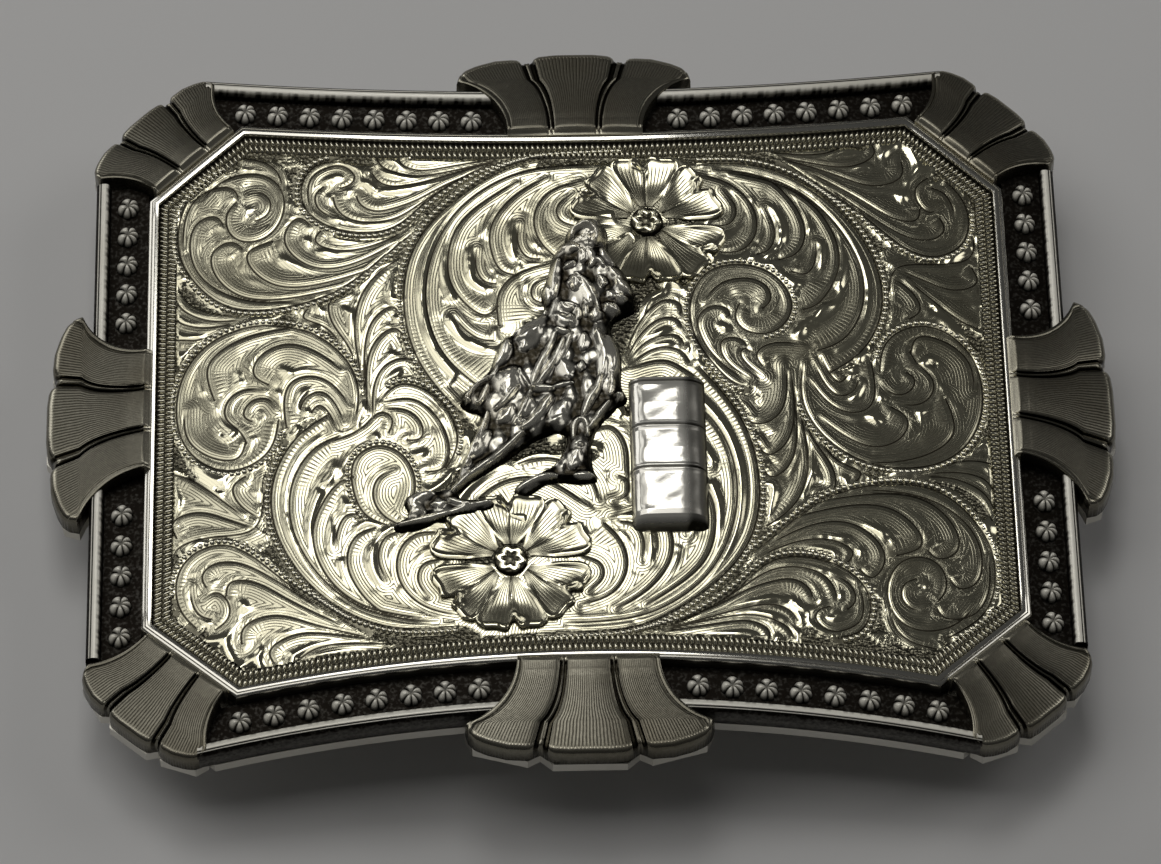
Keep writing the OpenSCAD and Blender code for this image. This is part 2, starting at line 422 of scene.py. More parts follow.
class Recipe:
    """The node tree of one material."""

    def __init__(self, name: str) -> None:
        """Starts an empty material.

        Args:
            name: The material's name.
        """
        self.material = bpy.data.materials.new(name)
        self.material.use_nodes = True
        self.nodes = self.material.node_tree.nodes
        self.nodes.clear()

    def node(self, kind: str, settings: dict[str, Any] | None = None,
             inputs: dict[str | int, Any] | None = None) -> bpy.types.Node:
        """Adds a node.

        Args:
            kind: The node's type.
            settings: Its properties, which are set first.
            inputs: Values or links of its sockets, by name or number.

        Returns:
            The node.
        """
        node = self.nodes.new(kind)
        for key, value in (settings or {}).items():
            setattr(node, key, value)
        for key, value in (inputs or {}).items():
            if isinstance(value, Value):
                value = value.socket
            if isinstance(value, bpy.types.NodeSocket):
                self.material.node_tree.links.new(value, node.inputs[key])
            elif isinstance(value, tuple):
                node.inputs[key].default_value = (*value, 1.0)
            else:
                node.inputs[key].default_value = value
        return node

    def value(self, kind: str, settings: dict[str, Any] | None, inputs: dict[str | int, Any],
              output: str | int = 0) -> Value:
        """A number from one output of a new node."""
        return Value(self, self.node(kind, settings, inputs).outputs[output])

    def noise(self, place: bpy.types.NodeSocket, scale: float, detail: float) -> Value:
        """A noise at a place, with its scale per metre."""
        return self.value("ShaderNodeTexNoise", None, {"Vector": place, "Scale": scale, "Detail": detail})

    def blend(self, factor: Value, first: Any, second: Any) -> bpy.types.NodeSocket:
        """A colour between two colours."""
        node = self.node("ShaderNodeMix", {"data_type": "RGBA"}, {0: factor, 6: first, 7: second})
        return node.outputs[2]

    def finish(self, inputs: dict[str | int, Any]) -> Material:
        """Ends the recipe with the main shader.

        Args:
            inputs: Values or links of the shader's sockets.

        Returns:
            The material.
        """
        shader = self.node("ShaderNodeBsdfPrincipled", None, inputs)
        self.node("ShaderNodeOutputMaterial", None, {0: shader.outputs[0]})
        return self.material


class Lines(Enum):
    """Which way the fine cut lines of a finish run."""

    NONE = "no lines"
    ALONG = "along the surface, side by side across it"


@dataclass(frozen=True)
class SilverFinish:
    """Aged silver plate: clean metal with fine cut lines, oxide in its cuts, fine grain and tarnish.

    The three colours are of clean, oxidised and tarnished metal, and the oxidised colour is also painted
    shade where a piece's tone asks for it. Shine and dull are the roughness of clean and of oxidised
    metal, and gloss is the share of shine that polish takes away. Metal is the share of metal where it is
    clean. Lined is how bright the metal between fine lines is, and tick_share how many cross ticks there
    are to one line. Cut_half is where a cut begins and ends to fade, away from its middle line. Dot is the
    pitch of the stippling. Lengths are in millimetres, and the noises' scales are per metre.
    """

    name: str
    clean: Colour = (0.86, 0.84, 0.77)
    oxide: Colour = (0.035, 0.031, 0.022)
    stained: Colour = (0.62, 0.58, 0.46)
    shine: float = 0.2
    metal: float = 1.0
    gloss: float = 0.35
    dull: float = 0.5
    lines: Lines = Lines.NONE
    pitch: float = 0.3
    tick_share: float = 0.6
    line_dark: float = 0.5
    lined: float = 1.0
    line_depth: float = 0.02
    cut_half: Point = (0.07, 0.2)
    dot: float = 0.0
    grain: float = 0.5
    grain_depth: float = 0.004
    stain: float = 0.35
    patch_scale: float = 90.0
    speck_scale: float = 2600.0
    wobble_scale: float = 700.0
    wobble: float = 0.35

    def material(self) -> Material:
        """Builds the material.

        Lines are a sine of the distance across the surface, raised so that the cuts are narrow, which
        wobbles with a noise and fades where the metal is polished. Cross ticks are a sine along the
        surface. Stippled places have rows of small dark cells. Oxide fills cuts, lines and cells, and the
        same dark colour is painted shade where a piece's tone asks for it. Noises on the piece's own
        coordinates give grain in the bump and tarnish in the colour. Roughness goes from shine to dull
        with the oxide, and the share of metal goes up to 1 with it, so that only bright places scatter
        light softly.

        Returns:
            The material.
        """
        r = Recipe(self.name)
        place = r.node("ShaderNodeTexCoord").outputs["Object"]
        lay = r.node("ShaderNodeSeparateXYZ", None, {
            0: r.node("ShaderNodeAttribute", {"attribute_name": "lay"}).outputs["Vector"]})
        tones = r.node("ShaderNodeAttribute", {"attribute_name": "tone"})
        tone = r.node("ShaderNodeSeparateColor", None, {0: tones.outputs["Color"]})
        cut, polish, tick = (Value(r, tone.outputs[i]) for i in range(3))
        cut = cut * (1 - Value(r, lay.outputs[2]).size().between(*self.cut_half))
        patch, speck = r.noise(place, self.patch_scale, 4.0), r.noise(place, self.speck_scale, 2.0)
        turn = 2 * math.pi / self.pitch
        groove: Value = cut * 0.0
        if self.lines is Lines.ALONG:
            wobble = r.noise(place, self.wobble_scale, 1.0) * (self.wobble * self.pitch)
            run = Value(r, lay.outputs[1]) + wobble
            groove = (run * turn).wave().between(0.55, 1.0) * (1 - polish) * (1 - tick)
            cross = (Value(r, lay.outputs[0]) * (turn * self.tick_share)).wave().between(0.4, 0.9) * tick
            groove = groove.most(cross)
        dark = cut.most(groove * self.line_dark) + (speck - 0.5) * (0.3 * self.grain) * cut
        height = speck * (self.grain_depth * (1.0 + self.grain)) - groove * self.line_depth
        if self.dot > 0:
            stipple = Value(r, tones.outputs["Alpha"])
            dot = r.value("ShaderNodeTexVoronoi", {"feature": "SMOOTH_F1"}, {
                "Vector": place, "Scale": 1 / (self.dot * MM), "Smoothness": 0.15, "Randomness": 0.9,
            }, "Distance")
            dark = dark.most((dot.between(0.1, 0.5) * 0.4 + 0.5) * stipple)
            height = height - dot * stipple * (0.5 * self.dot)
        dirt = patch.between(0.42, 0.72) * self.stain
        plate = r.blend(dirt.capped(), self.clean, self.stained)
        if self.lines is Lines.ALONG:
            plate = r.node("ShaderNodeMix", {"data_type": "RGBA", "blend_type": "MULTIPLY"}, {
                0: 1 - polish, 6: plate, 7: (self.lined, self.lined, self.lined)}).outputs[2]
        # The oxide colour also paints shade where a piece's tone asks for it, as on the drum and the
        # figure.
        colour = r.blend(dark.capped(), plate, self.oxide)
        rough = (self.shine - polish * (self.gloss * self.shine) + dark * (self.dull - self.shine)
                 + dirt * 0.1 + (speck - 0.5) * (0.12 * self.grain))
        metal = dark.capped() * (1 - self.metal) + self.metal
        bump = r.node("ShaderNodeBump", None, {"Strength": 1.0, "Distance": MM, "Height": height})
        return r.finish({"Base Color": colour, "Metallic": metal, "Roughness": rough.capped(),
                         "Normal": bump.outputs[0]})


@dataclass(frozen=True)
class PaintedFinish:
    """The matt surface of the floor, with faint mottling."""

    name: str
    colour: Colour = (0.74, 0.74, 0.745)
    roughness: float = 0.85
    mottle_scale: float = 14.0

    def material(self) -> Material:
        """Builds the material: two near greys mixed by a wide noise.

        Returns:
            The material.
        """
        r = Recipe(self.name)
        place = r.node("ShaderNodeTexCoord").outputs["Object"]
        cloud = r.noise(place, self.mottle_scale, 5.0)
        near = tuple(0.97 * c for c in self.colour)
        return r.finish({"Base Color": r.blend(cloud, near, self.colour), "Roughness": self.roughness})


@dataclass(frozen=True)
class Finishes:
    """Every finish of the buckle, made once."""

    engraved: Material
    ground: Material
    bright: Material
    polished: Material
    cast: Material
    figure: Material
    rail: Material
    fan: Material
    back: Material

    @classmethod
    def make(cls) -> "Finishes":
        """Builds all materials.

        Returns:
            The finishes.
        """
        return cls(
            engraved=SilverFinish("bright_cut_silver", clean=(0.9, 0.862, 0.655),
                                  stained=(0.6, 0.55, 0.37), lines=Lines.ALONG, line_dark=0.85, lined=0.7,
                                  line_depth=0.005, cut_half=(0.05, 0.19), dot=0.4, shine=0.15, gloss=0.3,
                                  dull=0.36, grain_depth=0.0006).material(),
            ground=SilverFinish("lined_ground", clean=(0.5, 0.47, 0.38), stained=(0.3, 0.27, 0.2),
                                shine=0.32, grain=1.0, grain_depth=0.01, stain=0.5).material(),
            bright=SilverFinish("beaded_silver", clean=(0.86, 0.83, 0.68), shine=0.24,
                                stain=0.3).material(),
            polished=SilverFinish("polished_bezel", shine=0.1, stain=0.15, grain=0.2,
                                  grain_depth=0.001).material(),
            cast=SilverFinish("cast_silver", clean=(0.95, 0.93, 0.86), shine=0.2, metal=0.65, stain=0.2,
                              grain_depth=0.003).material(),
            # its dark colour is oxide in the figure's hollows and painted shade on the rest of it
            figure=SilverFinish("oxidised_figure", clean=(0.98, 0.95, 0.84), oxide=(0.014, 0.012, 0.008),
                                stained=(0.78, 0.7, 0.5), shine=0.24, metal=0.75, dull=0.3, stain=0.3,
                                grain_depth=0.003).material(),
            rail=SilverFinish("rail_silver", clean=(1.0, 0.975, 0.88), oxide=(0.012, 0.01, 0.008),
                              shine=0.3, metal=0.1, grain=0.6, grain_depth=0.006, stain=0.25).material(),
            fan=SilverFinish("antique_fan", clean=(0.85, 0.81, 0.66), oxide=(0.03, 0.027, 0.019),
                             stained=(0.5, 0.45, 0.33), shine=0.28, metal=0.6, dull=0.3, stain=0.7,
                             lines=Lines.ALONG, pitch=1.0, line_dark=0.95, line_depth=0.05).material(),
            back=SilverFinish("satin_nickel", clean=(0.66, 0.64, 0.58), stained=(0.5, 0.48, 0.42),
                              shine=0.34, stain=0.5).material(),
        )


# Stage


@dataclass(frozen=True)
class Light:
    """A soft oblong light that faces the buckle, or faces straight down.

    Place and size are in millimetres, and power is in watts.
    """

    name: str
    place: Point3
    size: Point
    power: float
    colour: Colour
    flat: bool = False

    def build(self) -> None:
        """Makes the light."""
        data = bpy.data.lights.new(self.name, "AREA")
        data.shape = "RECTANGLE"
        data.size, data.size_y = (s * MM for s in self.size)
        data.energy = self.power
        data.color = self.colour
        lamp = bpy.data.objects.new(self.name, data)
        bpy.context.scene.collection.objects.link(lamp)
        lamp.location = Vector(self.place) * MM
        if not self.flat:
            lamp.rotation_euler = Vector(self.place).to_track_quat("Z", "Y").to_euler()


@dataclass(frozen=True)
class Studio:
    """Camera at the photograph's angle, plain floor and soft light. Angles are in degrees.

    The flat lights make a ceiling that the panel reflects up to its dark right side and top edge.
    """

    image: tuple[int, int] = (1161, 864)
    from_vertical: float = 31.844
    azimuth: float = -1.755
    roll: float = 0.605
    distance: float = 602.88
    focal_px: float = 6000.0
    offset_px: Point = (1.034, -44.442)
    level: float = 13.6
    sensor: float = 36.0
    clip: Point = (0.01, 20.0)
    floor_half: float = 900.0
    floor_steps: int = 8
    room: Colour = (0.045, 0.045, 0.044)
    lights: tuple[Light, ...] = (
        Light("ceiling_light", (-410, 172, 783), (980, 546), 1.8, (1.0, 0.98, 0.94), flat=True),
        Light("bright_light", (-45, 360, 780), (250, 290), 0.62, (1.0, 0.99, 0.96), flat=True),
        Light("left_light", (-520, 610, 783), (420, 190), 0.28, (1.0, 0.99, 0.96), flat=True),
        Light("right_light", (700, 250, 620), (420, 420), 0.7, (1.0, 0.98, 0.95)),
        Light("side_light", (-600, 540, 300), (420, 420), 0.7, (1.0, 0.99, 0.97)),
    )

    def build_camera(self) -> None:
        """Places the camera on a ray from the panel's middle, and aims it.

        The aim puts the panel's middle at its offset from the image's centre, so that no shift is needed.
        """
        tilt, turn, roll = (math.radians(v) for v in (self.from_vertical, self.azimuth, self.roll))
        back = Vector((math.sin(turn) * math.sin(tilt), -math.cos(turn) * math.sin(tilt), math.cos(tilt)))
        right = Vector((math.cos(turn), math.sin(turn), 0.0))
        up = back.cross(right)
        right, up = (math.cos(roll) * right + math.sin(roll) * up,
                     math.cos(roll) * up - math.sin(roll) * right)
        place = Vector((0, 0, self.level)) + back * self.distance
        across, down = (v / self.focal_px for v in self.offset_px)
        aim = -back - right * across + up * down
        back = -aim.normalized()
        right = (right - back * right.dot(back)).normalized()
        up = back.cross(right)
        data = bpy.data.cameras.new("photo_camera")
        data.sensor_width = self.sensor
        data.lens = self.focal_px / self.image[0] * self.sensor
        data.clip_start, data.clip_end = self.clip
        camera = bpy.data.objects.new("photo_camera", data)
        bpy.context.scene.collection.objects.link(camera)
        turned = Matrix((right, up, back)).transposed().to_4x4()
        camera.matrix_world = Matrix.Translation(place * MM) @ turned
        bpy.context.scene.camera = camera

    def build_floor(self) -> None:
        """A wide floor at the surface that the buckle rests on."""
        count = self.floor_steps + 1
        step = np.linspace(-self.floor_half, self.floor_half, count)
        x, y = np.meshgrid(step, step, indexing="ij")
        points = np.stack([x, y, np.zeros_like(x)], axis=-1).reshape(-1, 3) * MM
        mesh = bpy.data.meshes.new("floor")
        mesh.from_pydata(points.tolist(), [], cells(count, count).reshape(-1, 4).tolist())
        mesh.materials.append(PaintedFinish("plain_floor").material())
        floor = bpy.data.objects.new("floor", mesh)
        bpy.context.scene.collection.objects.link(floor)

    def build_lights(self) -> None:
        """Makes the lights and a dim room, and shows colours as they are."""
        for light in self.lights:
            light.build()
        world = bpy.data.worlds.new("dim_room")
        world.use_nodes = True
        world.node_tree.nodes["Background"].inputs[0].default_value = (*self.room, 1.0)
        bpy.context.scene.world = world
        bpy.context.scene.view_settings.view_transform = "Standard"


# Bezel, rails and fans


@dataclass(frozen=True)
class Bezel:
    """The polished frame around the panel, ruled with one fine line."""

    steps: Steps = (24, 10, 60)
    profile: tuple[Point3, ...] = (
        # distance outside the panel's edge, height above the plate's back, how dark
        (0.02, 2.3, 0.9), (0.02, 3, 0.8), (0, 3.66, 0.4), (-0.04, 3.82, 0.25), (-0.1, 3.91, 0.2),
        (-0.2, 3.97, 0.15), (-0.36, 4, 0.1), (-0.4, 3.93, 0.75), (-0.44, 4.02, 0.1), (-0.5, 4.05, 0),
        (-0.75, 4.04, 0), (-0.98, 4, 0), (-1.04, 3.9, 0.3), (-1.08, 3.6, 0.9), (-1.1, 3.25, 0.95),
    )

    def build(self, finishes: Finishes) -> None:
        """Carries the profile around the panel's outline.

        Args:
            finishes: The finishes.
        """
        shape = np.array(self.profile)
        rings = np.stack([FORM.outline(g, self.steps) for g in shape[:, 0]], axis=1)
        level = np.broadcast_to(shape[:, 1], rings.shape[:2])
        relief = Relief()
        relief.grid(FORM.lay(rings[..., 0], rings[..., 1], level), cut=shape[None, :, 2], loop=True)
        relief.build("bezel_ring", finishes.polished, "polished_silver", "bezel")


@dataclass(frozen=True)
class Berry:
    """A small fluted dome whose petals are wide on its upper left and narrow on its lower right.

    Uneven is how much narrower and wider the petals get, and fullness is how blunt they are: less is
    blunter. Pinch and groove are how far the grooves cut into the radius and the height, as shares. The
    hollow has a depth and a share of the radius.
    """

    radius: float = 1.15
    height: float = 1.1
    petals: int = 6
    uneven: float = 0.42
    narrow_at: float = -0.5
    fullness: float = 0.26
    pinch: float = 0.16
    groove: float = 0.4
    hollow: Point = (0.42, 0.28)
    around: int = 60
    up: int = 9

    def add(self, relief: Relief, x: float, y: float, t: float, turn: float) -> None:
        """Adds one berry.

        A point at the share q of the radius stands at the height times the root of 1 less q cubed, less a
        hollow in the middle. A cosine of the angle, which a sine spreads unevenly, cuts grooves between
        the petals.

        Args:
            relief: What it is added to.
            x: Its place across.
            y: Its place up the plan.
            t: Height of what it stands on.
            turn: How far it is turned, in radians.
        """
        angle, q = np.meshgrid(np.linspace(0, 2 * np.pi, self.around, endpoint=False),
                               np.linspace(0.0, 1.0, self.up), indexing="ij")
        spread = angle + self.uneven * np.sin(angle - self.narrow_at)
        flute = np.power(0.5 + 0.5 * np.cos(self.petals * spread), self.fullness)
        reach = self.radius * q * (1 - self.pinch + self.pinch * flute)
        dome = self.height * np.sqrt(np.clip(1 - q**3, 0, 1))
        depth, wide = self.hollow
        lift = dome * (1 - self.groove * (1 - flute) * rise(q, 0.05, 0.5)) - depth * bell(q, 0.0, wide)
        px, py = x + reach * np.cos(angle + turn), y + reach * np.sin(angle + turn)
        grooves = 2.4 * (1 - flute) ** 1.6 * rise(q, 0.12, 0.4)
        cut = np.clip(grooves + rise(q, 0.94, 1.0) + 0.8 * bell(q, 0, 0.26), 0, 1)
        relief.grid(FORM.lay(px, py, t + lift), cut=cut, loop=True)


@dataclass(frozen=True)
class BerryRow:
    """The berries of one rail: the first one's distance from the middle, their pitch and their number."""

    first: float
    pitch: float
    count: int


@dataclass(frozen=True)
class Rails:
    """Eight rails between the fans: a ruled ridge, a dark channel and a row of berries on a line in it.

    They start at a distance from the middle of each edge, and stop short of a corner's middle.
    """

    berry: Berry = Berry()
    line: float = 2.2
    long_row: BerryRow = BerryRow(10.7, 3.35, 8)
    short_row: BerryRow = BerryRow(11.4, 3.5, 5)
    start: float = 4.0
    stop_top: float = 1.0
    stop_side: float = 1.5
    steps: int = 170
    profile: tuple[Point3, ...] = (
        # distance outside the panel's edge, height above the plate's back, how dark
        (0, 2.4, 1), (0.06, 2.5, 1), (1.2, 2.46, 1), (3, 2.48, 1), (4, 2.5, 1), (4.1, 2.9, 1),
        (4.18, 3.5, 0.7), (4.26, 3.68, 0.2), (4.36, 3.78, 0), (4.5, 3.84, 0), (4.75, 3.88, 0),
        (4.9, 3.88, 0.1), (4.96, 3.84, 0.9), (5.04, 3.8, 1), (5.1, 3.84, 0.4), (5.16, 3.84, 0.4),
        (5.22, 3.8, 1), (5.42, 3.6, 1), (5.49, 3.3, 0.95), (5.5, 3, 0.95), (5.5, 2.2, 0.9),
        (5.5, 1.42, 0.95), (5.42, 1.3, 1),
    )

    def span(self, g: float, along_top: bool) -> Array:
        """One rail's line in the right upper quarter, from under the middle fan to under the corner's.

        Args:
            g: How far outside the panel's edge it runs.
            along_top: Whether it runs along the top, and not up the side.

        Returns:
            The line as an array of points.
        """
        share = np.linspace(0, 1, self.steps)
        corner_x, corner_y = (FORM.half_w + FORM.flat_x) / 2, FORM.half_h - FORM.corner_y / 2
        if along_top:
            x = self.start + (corner_x - self.stop_top - self.start) * share
            return np.stack([x, FORM.bow_edge(x, g)], axis=-1)
        y = self.start + (corner_y - self.stop_side - self.start) * share
        return np.stack([np.full(self.steps, FORM.half_w + g), y], axis=-1)

    def build(self, finishes: Finishes) -> None:
        """Carries the profile along each rail and stands its berries in the channel.

        Two sines of the distance along it, multiplied, make teeth of oxide on the ridge's inner edge.

        Args:
            finishes: The finishes.
        """
        shape = np.array(self.profile)
        for along_top, row, ends in ((True, self.long_row, ("bottom", "top")),
                                     (False, self.short_row, ("lower", "upper"))):
            grid = np.stack([self.span(g, along_top) for g in shape[:, 0]], axis=1)
            run = length_of(grid[:, 0])[:, None]
            tooth = rise(np.sin(5.6 * run) * np.sin(2.3 * run + 1.0), -0.2, 0.5)
            dark = shape[None, :, 2] + 0.5 * tooth * bell(shape[None, :, 0], 4.3, 0.16)
            for sx, side in ((-1, "left"), (1, "right")):
                for sy, up in zip((-1, 1), ends):
                    name = f"rail_{up}_{side}" if along_top else f"rail_{side}_{up}"
                    relief = Relief()
                    x, y = grid[..., 0] * sx, grid[..., 1] * sy
                    level = np.broadcast_to(shape[:, 1], x.shape)
                    relief.grid(FORM.lay(x, y, level), cut=np.clip(dark, 0, 1))
                    for place in row.first + row.pitch * np.arange(row.count):
                        bx, by = ((place, float(FORM.bow_edge(place, self.line))) if along_top
                                  else (FORM.half_w + self.line, place))
                        turn = 0.25 * math.sin(2.1 * place)
                        self.berry.add(relief, sx * bx, sy * by, FORM.floor_t, turn)
                    relief.build(f"{name}_berries", finishes.rail, "rail_silver", name)


@dataclass(frozen=True)
class FanSize:
    """Length of a fan, half its width at the foot and at its widest, and how many lines rule it."""

    length: float
    foot: float
    half: float
    lines: int


@dataclass(frozen=True)
class Fan:
    """A fluted fan of three lobes, set at a place with a turn in degrees.

    Dip is how much lower its tips are than its foot, climb is the share of its length where its hollow
    flanks end, and foot_end is where its bright foot bevel fades, as shares of a ray.
    """

    name: str
    x: float
    y: float
    turn: float
    size: FanSize
    dip: float = 1.2
    climb: float = 0.67
    wall: float = 4.0
    rows: int = 36
    face: Point = (0.075, 0.93)
    foot_end: Point = (0.055, 0.075)
    foot: Points = (
        # share of a ray, height against the face
        (0, -4), (0, -0.5), (0.03, -0.3), (0.06, -0.06),
    )
    bevel: Points = (
        # share of a ray, height against the face
        (0.95, -0.03), (0.975, -0.1), (0.99, -0.28), (1, -0.6), (1, -4),
    )
    columns: Points = (
        # share of the half width, height in millimetres against the face
        (0, 0.06), (0.06, 0.06), (0.12, 0.05), (0.18, 0.03), (0.24, 0), (0.285, -0.03), (0.3, -0.12),
        (0.312, -0.5), (0.326, -0.52), (0.338, -0.16), (0.35, -0.08), (0.362, -0.16), (0.374, -0.52),
        (0.388, -0.5), (0.4, -0.12), (0.42, -0.02), (0.5, 0.02), (0.6, 0.04), (0.7, 0.04), (0.8, 0.03),
        (0.88, 0.02), (0.93, 0), (0.945, -0.08), (0.955, 0.02), (0.975, 0.05), (0.99, 0), (1, -0.3),
    )
    tips: tuple[Point3, ...] = (
        # share of the half width at the foot, the same at the ray's tip, share of the fan's length
        (0, 0, 1), (0.15, 0.17, 1), (0.27, 0.3, 0.985), (0.31, 0.35, 0.95), (0.35, 0.4, 0.905),
        (0.39, 0.45, 0.93), (0.43, 0.5, 0.955), (0.6, 0.67, 0.94), (0.78, 0.83, 0.885),
        (0.9, 0.925, 0.83), (0.96, 0.975, 0.765), (1, 1, 0.67),
    )

    def tip(self, a: Array) -> tuple[Array, Array]:
        """Where rays end: on rounded lobes with a notch between them.

        Args:
            a: The rays' shares of the half width at the foot.

        Returns:
            How far the ends are to the side, and how far up the fan.
        """
        table, s = np.array(self.tips), np.abs(a)
        wide, high = (np.interp(s, table[:, 0], table[:, k]) for k in (1, 2))
        return np.sign(a) * wide * self.size.half, high * self.size.length

    def flank(self, height: Array) -> Array:
        """How far the hollow flanks draw the fan in: the straight flank less an arc on the same chord.

        Args:
            height: Places up the fan.

        Returns:
            A length for each place.
        """
        size = self.size
        climb = self.climb * size.length
        flare = size.half - size.foot
        radius = (flare**2 + climb**2) / (2 * flare)
        h = np.clip(height, 0, climb)
        return size.foot + flare * h / climb - (size.foot + radius - np.sqrt(radius**2 - h**2))

    def build(self, finishes: Finishes) -> None:
        """Rules the fan with rays from its foot to its tips.

        A ray with the share a starts at a times the foot's half width and ends at its tip, and hollow
        flanks draw it in by a times the sagitta of their arc. The dark face falls towards the tips, which
        have a bevel and a wall, and so has the foot, where the bevel is bright.

        Args:
            finishes: The finishes.
        """
        table, foot, bevel = (np.array(v) for v in (self.columns, self.foot, self.bevel))
        a = np.concatenate([-table[:0:-1, 0], table[:, 0]])
        crown = np.concatenate([table[:0:-1, 1], table[:, 1]])
        fine = 2 * a.size - 1
        a, crown = (np.interp(np.linspace(0, 1, fine), np.linspace(0, 1, a.size), v) for v in (a, crown))
        v = np.concatenate([foot[:, 0], np.linspace(*self.face, self.rows), bevel[:, 0]])
        drop = np.concatenate([foot[:, 1], np.zeros(self.rows), bevel[:, 1]])[:, None]
        along, share = np.meshgrid(v, a, indexing="ij")
        tip_x, tip_y = self.tip(share)
        start = share * self.size.foot
        y = along * tip_y
        x = start + (tip_x - start) * along - share * self.flank(y)
        turn = math.radians(self.turn)
        px = self.x + x * math.cos(turn) - y * math.sin(turn)
        py = self.y + x * math.sin(turn) + y * math.cos(turn)
        lobes = crown * rise(along, 0.0, 0.12)
        edge = np.where(np.abs(share) > 0.9999, -self.wall, 0.0)
        level = FORM.fan_t - self.dip * y / self.size.length + lobes + drop
        t = np.maximum(level + edge, FORM.plate_t)
        walled = (drop < -1) | (edge < 0)
        at_foot = 1 - rise(along, *self.foot_end)
        bright = at_foot + 0.55 * bell(along, 0.955, 0.014)
        cut = np.clip(0.8 * (1 - bright) + rise(-lobes, 0.15, 0.45) + 0.9 * walled, 0, 1)
        edges = rise(along, 0.925, 0.955) + at_foot + rise(np.abs(share), 0.94, 0.95)
        polish = np.clip(edges + rise(-lobes, 0.04, 0.1), 0, 1) * ~walled
        relief = Relief()
        relief.grid(FORM.lay(px, py, t), along=y, across=share * self.size.lines / 2, cut=cut,
                    polish=polish, tick=(1 - rise(along, 0.05, 0.3)) * 0.6)
        relief.build(f"{self.name}_lobes", finishes.fan, "antique_silver", self.name, 35.0)


@dataclass(frozen=True)
class Fans:
    """The eight fans: one at each middle, one at each corner.

    Inset is how far inside the panel's edge the middle ones have their feet, across and up.
    """

    side: FanSize = FanSize(10.7, 7.0, 12.2, 74)
    corner: FanSize = FanSize(9.0, 5.3, 8.1, 52)
    inset: Point = (0.6, 0.4)

    def build(self, finishes: Finishes) -> None:
        """Builds the fans with their feet just inside the panel's edge, and square to it.

        Args:
            finishes: The finishes.
        """
        normal, _ = FORM.cut
        foot_x, foot_y = FORM.half_w - self.inset[0], FORM.half_h - FORM.edge_bow - self.inset[1]
        cx, cy = (FORM.half_w + FORM.flat_x) / 2, FORM.half_h - FORM.corner_y / 2
        turn = math.degrees(math.atan2(normal[1], normal[0])) - 90
        for name, x, y, turned, size in (
            ("fan_top", 0, foot_y, 0, self.side), ("fan_bottom", 0, -foot_y, 180, self.side),
            ("fan_left", -foot_x, 0, 90, self.side), ("fan_right", foot_x, 0, -90, self.side),
            ("fan_top_left", -cx, cy, -turn, self.corner), ("fan_top_right", cx, cy, turn, self.corner),
            ("fan_bottom_left", -cx, -cy, 180 + turn, self.corner),
            ("fan_bottom_right", cx, -cy, 180 - turn, self.corner),
        ):
            Fan(name, x, y, turned, size).build(finishes)


# Engraving


@dataclass(frozen=True)
class MilledBorder:
    """Two rows of short upright ticks around the panel, on rings at distances inside its edge."""

    pitch: float = 0.56
    tick_h: float = 0.34
    base: float = 0.06
    columns_per_tick: int = 8
    steps: Steps = (400, 100, 700)
    edges: tuple[float, ...] = (1.12, 1.2, 1.27, 1.6, 1.93, 2.0, 2.06, 2.12, 2.5, 2.86, 2.93, 3.0)

    def build(self, finishes: Finishes) -> None:
        """Cuts the border's ticks.

        Height is a steepened squared sine along the border, half a pitch further on in the inner row,
        times a smooth step up and down across each row. All rings are stepped as a ring between the rows
        is.

        Args:
            finishes: The finishes.
        """
        between = 1.9
        rings = [FORM.outline(-g, self.steps) for g in (between, *self.edges)]
        probe, *rings = [np.vstack([ring, ring[:1]]) for ring in rings]
        along = length_of(probe)
        ticks = int(along[-1] / self.pitch)
        even = np.linspace(0, along[-1], ticks * self.columns_per_tick, endpoint=False)
        x, y = (np.stack([np.interp(even, along, ring[:, k]) for ring in rings], axis=1) for k in (0, 1))
        g = np.array(self.edges)[None, :]
        phase = np.pi * even[:, None] * ticks / along[-1]
        outer = rise(g, 1.15, 1.25) * (1 - rise(g, 1.94, 2.03))
        inner = rise(g, 2.06, 2.15) * (1 - rise(g, 2.87, 2.96))
        stand = outer * rise(np.sin(phase) ** 2, 0.2, 0.75) + inner * rise(np.cos(phase) ** 2, 0.2, 0.75)
        t = FORM.panel_t + self.base + self.tick_h * stand
        relief = Relief()
        relief.grid(FORM.lay(x, y, t), cut=np.clip(0.97 - 1.3 * stand, 0, 1), polish=1.0, loop=True)
        relief.build("milled_border", finishes.bright, "engraved_silver", crease=80.0)


@dataclass(frozen=True)
class Lobe:
    """One leaf of a scroll: its width, and places on its outer edge from root to tip.

    The width has a minus where the leaf lies on the right of its outer edge.
    """

    width: float
    edge: Points


class Half(Enum):
    """Where a charted scroll is cut."""

    BOTH = "as charted, and again half a turn round"
    CHARTED = "only as charted"


@dataclass(frozen=True)
class Scroll:
    """A scroll of leaves. Its first leaf is the longest, and may have a row of beads outside it."""

    name: str
    lobes: tuple[Lobe, ...]
    half: Half = Half.BOTH

    def copies(self, line: Array) -> list[Array]:
        """A line of this scroll, and its turned copy where there is one."""
        return [line, half_turn(line)] if self.half is Half.BOTH else [line]


def scroll(name: str, *rows: tuple, half: Half = Half.BOTH) -> Scroll:
    """A scroll from rows of a width and the places along a leaf's outer edge."""
    return Scroll(name, tuple(Lobe(row[0], tuple(row[1:])) for row in rows), half)


